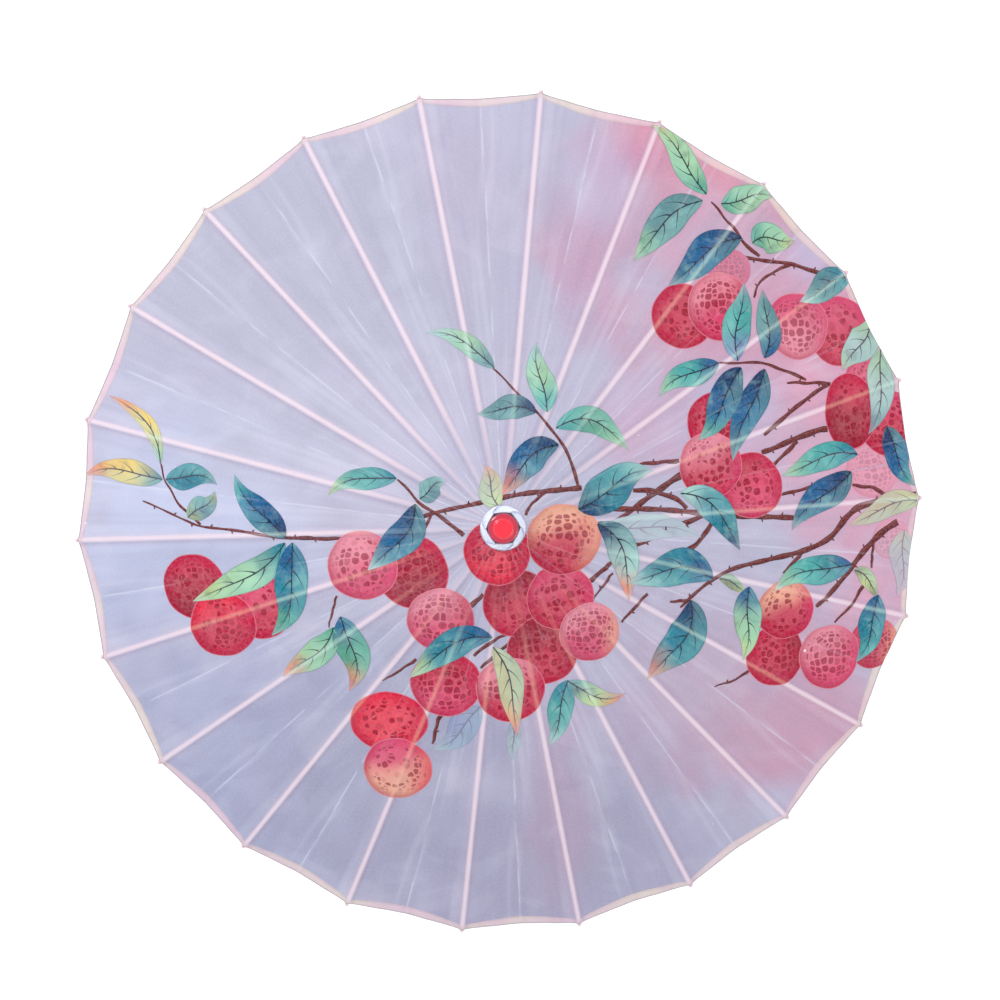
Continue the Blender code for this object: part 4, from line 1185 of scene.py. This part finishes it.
def ribStations():
    # distance from the hinge, half width, half depth, corner radius
    shape, knob = ribShape, ribShape["knob"]
    length = (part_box("rib_01")[1][0] - umbrella["hingeRadius"]) / math.cos(umbrella["slope"]) - 0.0003
    centre = length - knob * 0.9
    wide, deep, blade = shape["halfWide"], shape["halfDepth"], shape["bladeHalf"]
    slotStart, slotEnd = shape["slot"]
    base = [(-0.0018, 0.0006, 0.0009), (-0.0012, blade, 0.0015), (-0.0002, blade, deep),
            (0.0245, blade, deep),
            (0.0275, 0.0013, deep), (0.030, 0.0017, deep), (slotStart - 0.001, wide, deep),
            (slotStart, wide, deep),
            (slotEnd, wide, deep), (slotEnd + 0.001, wide, deep)]
    for joint in shape["joints"]:
        for step, swell in ((-0.003, 0), (-0.001, 0.00015), (0.0, 0.00022), (0.001, 0.00012), (0.003, 0)):
            broad = np.interp(joint, (0.03, 0.155, 0.41), (0.0017, wide, 0.0019))
            base.append((joint + step, broad + swell, deep + swell * 0.6 * (joint < 0.2 or joint > 0.24)))
    base += [(centre - 0.0052, 0.0019, 0.0017), (centre - 0.0030, 0.0015, 0.0014),
             (centre - 0.0021, 0.0013, 0.0013)]
    ball = np.linspace(math.radians(205), math.radians(358), 9)
    for turn in ball:
        reach = max(knob * abs(math.sin(turn)), 0.0002)
        base.append((centre + knob * math.cos(turn), reach, reach))
    base = np.array(sorted(base))
    place, half, depth = base.T
    least = np.minimum(half, depth)
    corner = np.where(place > centre - knob, least, np.minimum(shape["corner"], 0.92 * least))
    return place, half, depth, corner, centre - knob * 0.95


def ribMeshAt(index):
    # a rib: rounded sections carried out along the slope, split by the stretcher's slot, ending in a bead
    place, half, depth, corner, beadStart = ribStations()
    slotHalf = np.minimum(ribShape["slotHalf"], (half - corner) * 0.98)
    slotHalf = np.where((place >= 0.18) & (place <= 0.2355), ribShape["slotHalf"],
                        np.maximum(slotHalf, shut))
    side, lift = stripLoop(half, depth, corner, slotHalf)
    slope = umbrella["slope"]
    along = umbrella["hingeRadius"] + place[:, None] * math.cos(slope) + lift * math.sin(slope)
    z = umbrella["hingeHeight"] - place[:, None] * math.sin(slope) + lift * math.cos(slope)
    x, y = toPlan(along, side, index)
    count, size = side.shape
    grid = gridFaces(count, size, wrapColumns=True)
    inSlot = (place[:-1] >= ribShape["slot"][0] - 1e-5) & (place[1:] <= ribShape["slot"][1] + 1e-5)
    faces = []
    for number, face in enumerate(grid):
        row, column = divmod(number, size)
        if inSlot[row] and column in (size // 2 - 1, size - 1):
            continue
        faces.append(face)
    for row in np.flatnonzero(inSlot):
        a, b = row * size, (row + 1) * size
        right, left = (0, size // 2 - 1), (size - 1, size // 2)
        faces.append([a + right[0], a + right[1], b + right[1], b + right[0]])
        faces.append([a + left[0], a + left[1], b + left[1], b + left[0]])
    for row in (np.flatnonzero(inSlot)[0], np.flatnonzero(inSlot)[-1] + 1):
        a = row * size
        faces.append([a, a + size // 2 - 1, a + size // 2, a + size - 1])
    faces += [list(range(size)), [(count - 1) * size + k for k in range(size)]]
    strip = np.stack([place[:, None] + 0 * side, side + index * 0.013, lift], -1)
    mesh = makeMesh("rib", np.stack([x, y, z], -1), faces, {"strip": strip}, keepSharp=42)
    bead = np.array([mesh.vertices[p.vertices[0]].co.xy.length for p in mesh.polygons])
    edge = umbrella["hingeRadius"] + beadStart * math.cos(slope)
    mesh.polygons.foreach_set("material_index", (bead > edge - 0.0004).astype(int).tolist())
    return mesh


def stretcherMeshAt(index):
    # a stretcher: rounded sections from its pivot in the rib down to the runner, whittled thin at both ends
    s = stretcherShape
    end, top, heel = s["length"], s["top"], s["length"] - s["heel"]
    wide, deep, blade = s["halfWide"], s["halfDepth"], s["bladeHalf"]
    base = np.array([(-0.0016, 0.0005, 0.0008), (-0.001, blade, 0.0014), (0.0, blade, deep),
                     (top - 0.004, blade, deep),
                     (top - 0.001, 0.0013, deep), (top + 0.001, wide, deep), (0.0955, wide, deep),
                     (0.0965, 0.00165, 0.0017), (0.0975, wide, deep), (heel - 0.004, wide, deep),
                     (heel - 0.001, 0.0011, deep), (heel + 0.001, blade, deep), (end, blade, deep),
                     (end + 0.001, blade, 0.0014), (end + 0.0016, 0.0005, 0.0008)])
    place, half, depth = base.T
    corner = np.minimum(s["corner"], 0.9 * np.minimum(half, depth))
    side, lift = stripLoop(half, depth, corner, np.maximum((half - corner) * 0.5, shut))
    slope = umbrella["slope"]
    along = stretcherHinge[0] - place[:, None] * math.cos(slope) + lift * math.sin(slope)
    z = stretcherHinge[2] - place[:, None] * math.sin(slope) - lift * math.cos(slope)
    x, y = toPlan(along, side, index)
    count, size = side.shape
    faces = gridFaces(count, size, wrapColumns=True)
    faces += [list(range(size)), [(count - 1) * size + k for k in range(size)]]
    strip = np.stack([place[:, None] + 0.3 + 0 * side, side + index * 0.017, -lift], -1)
    return makeMesh("stretcher", np.stack([x, y, z], -1), faces, {"strip": strip}, keepSharp=42)


def beadFinish():
    # a bead rubbed with pale pink paint, the wood showing faintly
    f = Finish("beadPaint", Coat_Weight=0.25)
    place = f.objectPlace()
    fibre = f.noise(place, 900.0, 4.0)
    colour = f.mix(f.step(fibre, 0.35, 0.7), linear((0.93, 0.85, 0.88)), linear((0.90, 0.74, 0.80)))
    return f.finish(colour, f.plus(0.36, f.times(fibre, 0.2)), fibre, 0.2, 0.0002)


finishes["bead"] = beadFinish()
for index in range(umbrella["ribs"]):
    rib, stretcher = numbered("rib", index), numbered("stretcher", index)
    makePiece("bamboo_" + rib, ribMeshAt(index), [finishes["bamboo"], finishes["bead"]], rib,
              [rib])
    makePiece("bamboo_" + stretcher, stretcherMeshAt(index), [finishes["bamboo"]], stretcher,
              [stretcher])
print("stage: ribs and stretchers made")


blocks = {
    "bore": 0.0063, "slotFloor": 0.0116, "slotHalf": 0.00105, "grooveFloor": 0.0131, "grooveHalf": 0.0008,
    "runnerDrop": 0.036, "runnerWide": 0.0185, "sleeve": 0.011, "perTooth": 7,
}


def slottedMesh(name, profile):
    # a turned block with one slot for each rib: the columns between slots follow the profile, and those
    # across a slot are held in to its floor, so that its walls stand straight
    profile = softProfile(profile, 0.0005, 4)
    radius, height = profile[:, :1], profile[:, 1:]
    floor, slotHalf = blocks["slotFloor"], blocks["slotHalf"]
    rows = []
    for index in range(umbrella["ribs"]):
        middle = index * ribStep
        held = np.minimum(radius, floor)
        for reach, offset in ((radius, -slotHalf), (held, -slotHalf), (held, slotHalf), (radius, slotHalf)):
            rows.append((reach, middle + np.arcsin(np.clip(offset / reach, -1, 1))))
        start, stop = middle + np.arcsin(slotHalf / radius), middle + ribStep - np.arcsin(slotHalf / radius)
        for share in np.linspace(0, 1, blocks["perTooth"])[1:-1]:
            rows.append((radius, start + (stop - start) * share))
    reach = np.hstack([r for r, a in rows])
    angle = np.hstack([a for r, a in rows])
    points = np.stack([reach * np.cos(angle), reach * np.sin(angle), height + 0 * angle], -1)
    faces = gridFaces(points.shape[0], points.shape[1], wrapRows=True, wrapColumns=True)
    return makeMesh(name, points, faces, merge=2e-6, keepSharp=35)


def headPiece():
    # a turned block with a step below and a groove for its thread
    low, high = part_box("head_block")
    pivot, wide, top = umbrella["hingeHeight"], high[0], high[2]
    bore, groove, lip = blocks["bore"], blocks["grooveFloor"], blocks["grooveHalf"]
    profile = [(bore, low[2]), (0.0090, low[2]), (0.0100, low[2] + 0.0050), (0.0121, low[2] + 0.0060),
               (wide, low[2] + 0.0100), (wide, pivot - lip), (groove, pivot - lip), (groove, pivot + lip),
               (wide, pivot + lip), (wide, top), (bore, top)]
    makePiece("head_turned", slottedMesh("head", profile), [finishes["block"]], "pole",
              ["head_block"])


def runnerPiece():
    # a slotted crown with a thread groove, on a sleeve that ends in a bead
    low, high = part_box("runner")
    base, pivot, top = low[2], low[2] + blocks["runnerDrop"], high[2]
    wide, sleeve = blocks["runnerWide"], blocks["sleeve"]
    bore, groove, lip = blocks["bore"], blocks["grooveFloor"], blocks["grooveHalf"]
    profile = [(bore, base), (sleeve, base), (sleeve, base + 0.0050), (sleeve - 0.001, base + 0.006),
               (sleeve, base + 0.007), (sleeve, pivot - 0.0105), (sleeve + 0.0004, pivot - 0.0066),
               (wide, pivot - 0.0063), (wide, pivot - lip), (groove, pivot - lip), (groove, pivot + lip),
               (wide, pivot + lip), (wide, top), (bore, top)]
    makePiece("runner_turned", slottedMesh("runner", profile), [finishes["block"]], "runner",
              ["runner"])


def copiedMesh(node):
    # a CAD node's own triangles, merged into one skin with smooth rounds and sharp corners
    shape = bmesh.new()
    shape.from_mesh(frame["nodes"][node].data)
    bmesh.ops.remove_doubles(shape, verts=shape.verts, dist=1e-6)
    bmesh.ops.recalc_face_normals(shape, faces=shape.faces)
    bmesh.ops.dissolve_limit(shape, angle_limit=0.01, verts=shape.verts, edges=shape.edges)
    mesh = bpy.data.meshes.new(node)
    shape.to_mesh(mesh)
    shape.free()
    mesh.polygons.foreach_set("use_smooth", [True] * len(mesh.polygons))
    mesh.set_sharp_from_angle(angle=math.radians(32))
    return mesh


def gripPiece():
    # a turned handle with a waist near its foot, and the ring on its upper end
    low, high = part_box("grip")
    top, wide, bore = high[2], high[0], blocks["bore"]
    run = np.array([(wide - 0.0035, 0), (wide - 0.0010, 0.0012), (wide - 0.0001, 0.0045), (wide, 0.0085),
                    (wide - 0.0004, 0.0125),
                    (wide - 0.0020, 0.0160), (wide - 0.0026, 0.0200), (wide - 0.0019, 0.0265),
                    (wide - 0.0006, 0.0345),
                    (wide, 0.0455), (wide - 0.0002, 0.0600), (wide - 0.0012, top - 0.0220),
                    (wide - 0.0026, top - 0.0130),
                    (wide - 0.0033, top - 0.0095), (wide - 0.0033, top)])
    ring = smoothRun(run * 1000, 1.0) / 1000
    inside = [(bore, top), (bore, 0.012), (0.0001, 0.012), (0.0001, 0.0)]
    mesh = turnedMesh("grip", np.vstack([ring, inside]), 72)
    makePiece("grip_turned", mesh, [finishes["turned"]], "pole", ["grip"])
    low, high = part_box("grip_ferrule")
    wide, base, top = high[0], low[2], high[2]
    corners = [(bore, base), (wide - 0.0006, base), (wide, base + 0.0011), (wide - 0.0003, base + 0.0024),
               (wide - 0.0016, base + 0.0031), (wide - 0.0018, top - 0.0014), (wide - 0.0022, top),
               (bore, top)]
    mesh = turnedMesh("ferrule", softProfile(corners, 0.0005, 4), 72)
    makePiece("ferrule_ring", mesh, [finishes["brass"]], "pole", ["grip_ferrule"])


def polePieces():
    # the stick, the catch and its pin keep the shapes that the frame gives them
    makePiece("pole_stick", copiedMesh("pole"), [finishes["stick"]], "pole", ["pole"])
    for node, body in (("catch", "catch"), ("catch_pin", "pole")):
        item = makePiece(node + "_metal", copiedMesh(node), [finishes["steel"]], body,
                         [node])
        edge = item.modifiers.new("edges", "BEVEL")
        edge.width = 0.00018
        edge.segments = 2
        edge.limit_method = "ANGLE"


def threadRing(name, radius, height, body, node):
    # a two-ply thread tied round a block
    angle = np.linspace(0, 2 * math.pi, 265)[:-1]
    path = np.stack([radius * np.cos(angle), radius * np.sin(angle), 0 * angle + height], -1)
    mesh = tubeMesh(name, path, 0.00038, 10, 0.28, 2600.0, closed=True)
    makePiece(name, mesh, [finishes["thread"]], body, [node])


def pivotThreads():
    # the thread through the middle pivots, one length for each rib, straight from fold to fold
    for index in range(umbrella["ribs"]):
        across = np.linspace(-1, 1, 41) * stretcherHinge[0] * math.tan(halfStep)
        x, y = toPlan(stretcherHinge[0] + 0 * across, across, index)
        droop = 0.0012 * (1 - np.cos(across / across.max() * math.pi)) / 2
        path = np.stack([x, y, stretcherHinge[2] - droop], -1)
        mesh = tubeMesh("pivotThread", path, 0.00036, 8, 0.25, 2600.0)
        item = makePiece(numbered("pivot_thread", index), mesh, [finishes["thread"]], numbered("rib", index),
                         ["pivot_thread"])
        foldAway(item)


headPiece()
runnerPiece()
gripPiece()
polePieces()
threadRing("head_thread_ring", umbrella["hingeRadius"], umbrella["hingeHeight"], "pole", "head_thread")
runnerPivot = (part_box("runner_thread")[0][2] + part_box("runner_thread")[1][2]) / 2
threadRing("runner_thread_ring", umbrella["hingeRadius"], runnerPivot, "runner", "runner_thread")
pivotThreads()
print("stage: head, runner, pole and grip made")


studio = {
    "floor": [(28, 0), (31, 0.3), (34, 1.6), (36, 4.0), (37, 8.0), (37.5, 24.0)], "floorSides": 96,
    "floorGlow": 0.30, "worldColour": (0.97, 0.98, 1.0, 1.0), "worldStrength": 0.78, "lightAim": (0, 0, 0.4),
    "rimHeight": 0.405, "tilt": (3.0, 0.981, 2.786), "eye": (-0.00069, 0.0182, 1.1545), "view": 46.0,
}


def floorPiece():
    # a wide disc whose edge curves up into a plain backdrop
    sides = studio["floorSides"]
    angle = np.arange(sides) * 2 * math.pi / sides
    rings = np.array(studio["floor"])
    points = np.stack([rings[:, :1] * np.cos(angle), rings[:, :1] * np.sin(angle),
                       rings[:, 1:] + 0 * angle], -1)
    faces = gridFaces(len(rings), sides, wrapColumns=True) + [list(range(sides - 1, -1, -1))]
    mesh = makeMesh("floor", points, faces, recalc=False)
    item = bpy.data.objects.new("floor", mesh)
    bpy.context.scene.collection.objects.link(item)
    f = Finish("paleFloor")
    f.shader.inputs["Emission Color"].default_value = (1, 1, 1, 1)
    f.shader.inputs["Emission Strength"].default_value = studio["floorGlow"]
    haze = f.noise(f.objectPlace(), 3.0, 2.0)
    f.finish(f.mix(haze, (0.86, 0.86, 0.86), (0.88, 0.88, 0.88)), 0.9)
    mesh.materials.append(f.material)


def softLight(name, place, size, power, colour):
    # a round area light that faces the middle of the canopy
    data = bpy.data.lights.new(name, "AREA")
    data.shape = "DISK"
    data.size = size
    data.energy = power
    data.color = colour
    item = bpy.data.objects.new(name, data)
    item.location = place
    item.rotation_euler = (Vector(studio["lightAim"]) - Vector(place)).to_track_quat("-Z", "Y").to_euler()
    bpy.context.scene.collection.objects.link(item)


def studioLight():
    world = bpy.data.worlds.new("studio")
    world.use_nodes = True
    world.node_tree.nodes["Background"].inputs[0].default_value = studio["worldColour"]
    world.node_tree.nodes["Background"].inputs[1].default_value = studio["worldStrength"]
    bpy.context.scene.world = world
    softLight("key", (-1.5, 1.6, 1.9), 0.9, 27, (1.0, 0.985, 0.97))
    softLight("fill", (1.9, -1.2, 1.5), 1.6, 9, (0.97, 0.98, 1.0))
    bpy.context.scene.view_settings.view_transform = "Standard"


def cameraPiece():
    # the camera's place is given in its own axes, from the middle of the rim
    data = bpy.data.cameras.new("camera")
    data.angle = math.radians(studio["view"])
    item = bpy.data.objects.new("camera", data)
    bpy.context.scene.collection.objects.link(item)
    tx, ty, tz = (math.radians(a) for a in studio["tilt"])
    tilt = Matrix.Rotation(tx, 4, "X") @ Matrix.Rotation(ty, 4, "Y") @ Matrix.Rotation(tz, 4, "Z")
    rim = Matrix.Translation((0, 0, studio["rimHeight"]))
    item.matrix_world = rim @ tilt.transposed() @ Matrix.Translation(studio["eye"])
    bpy.context.scene.camera = item


floorPiece()
studioLight()
cameraPiece()
print("stage: studio set")
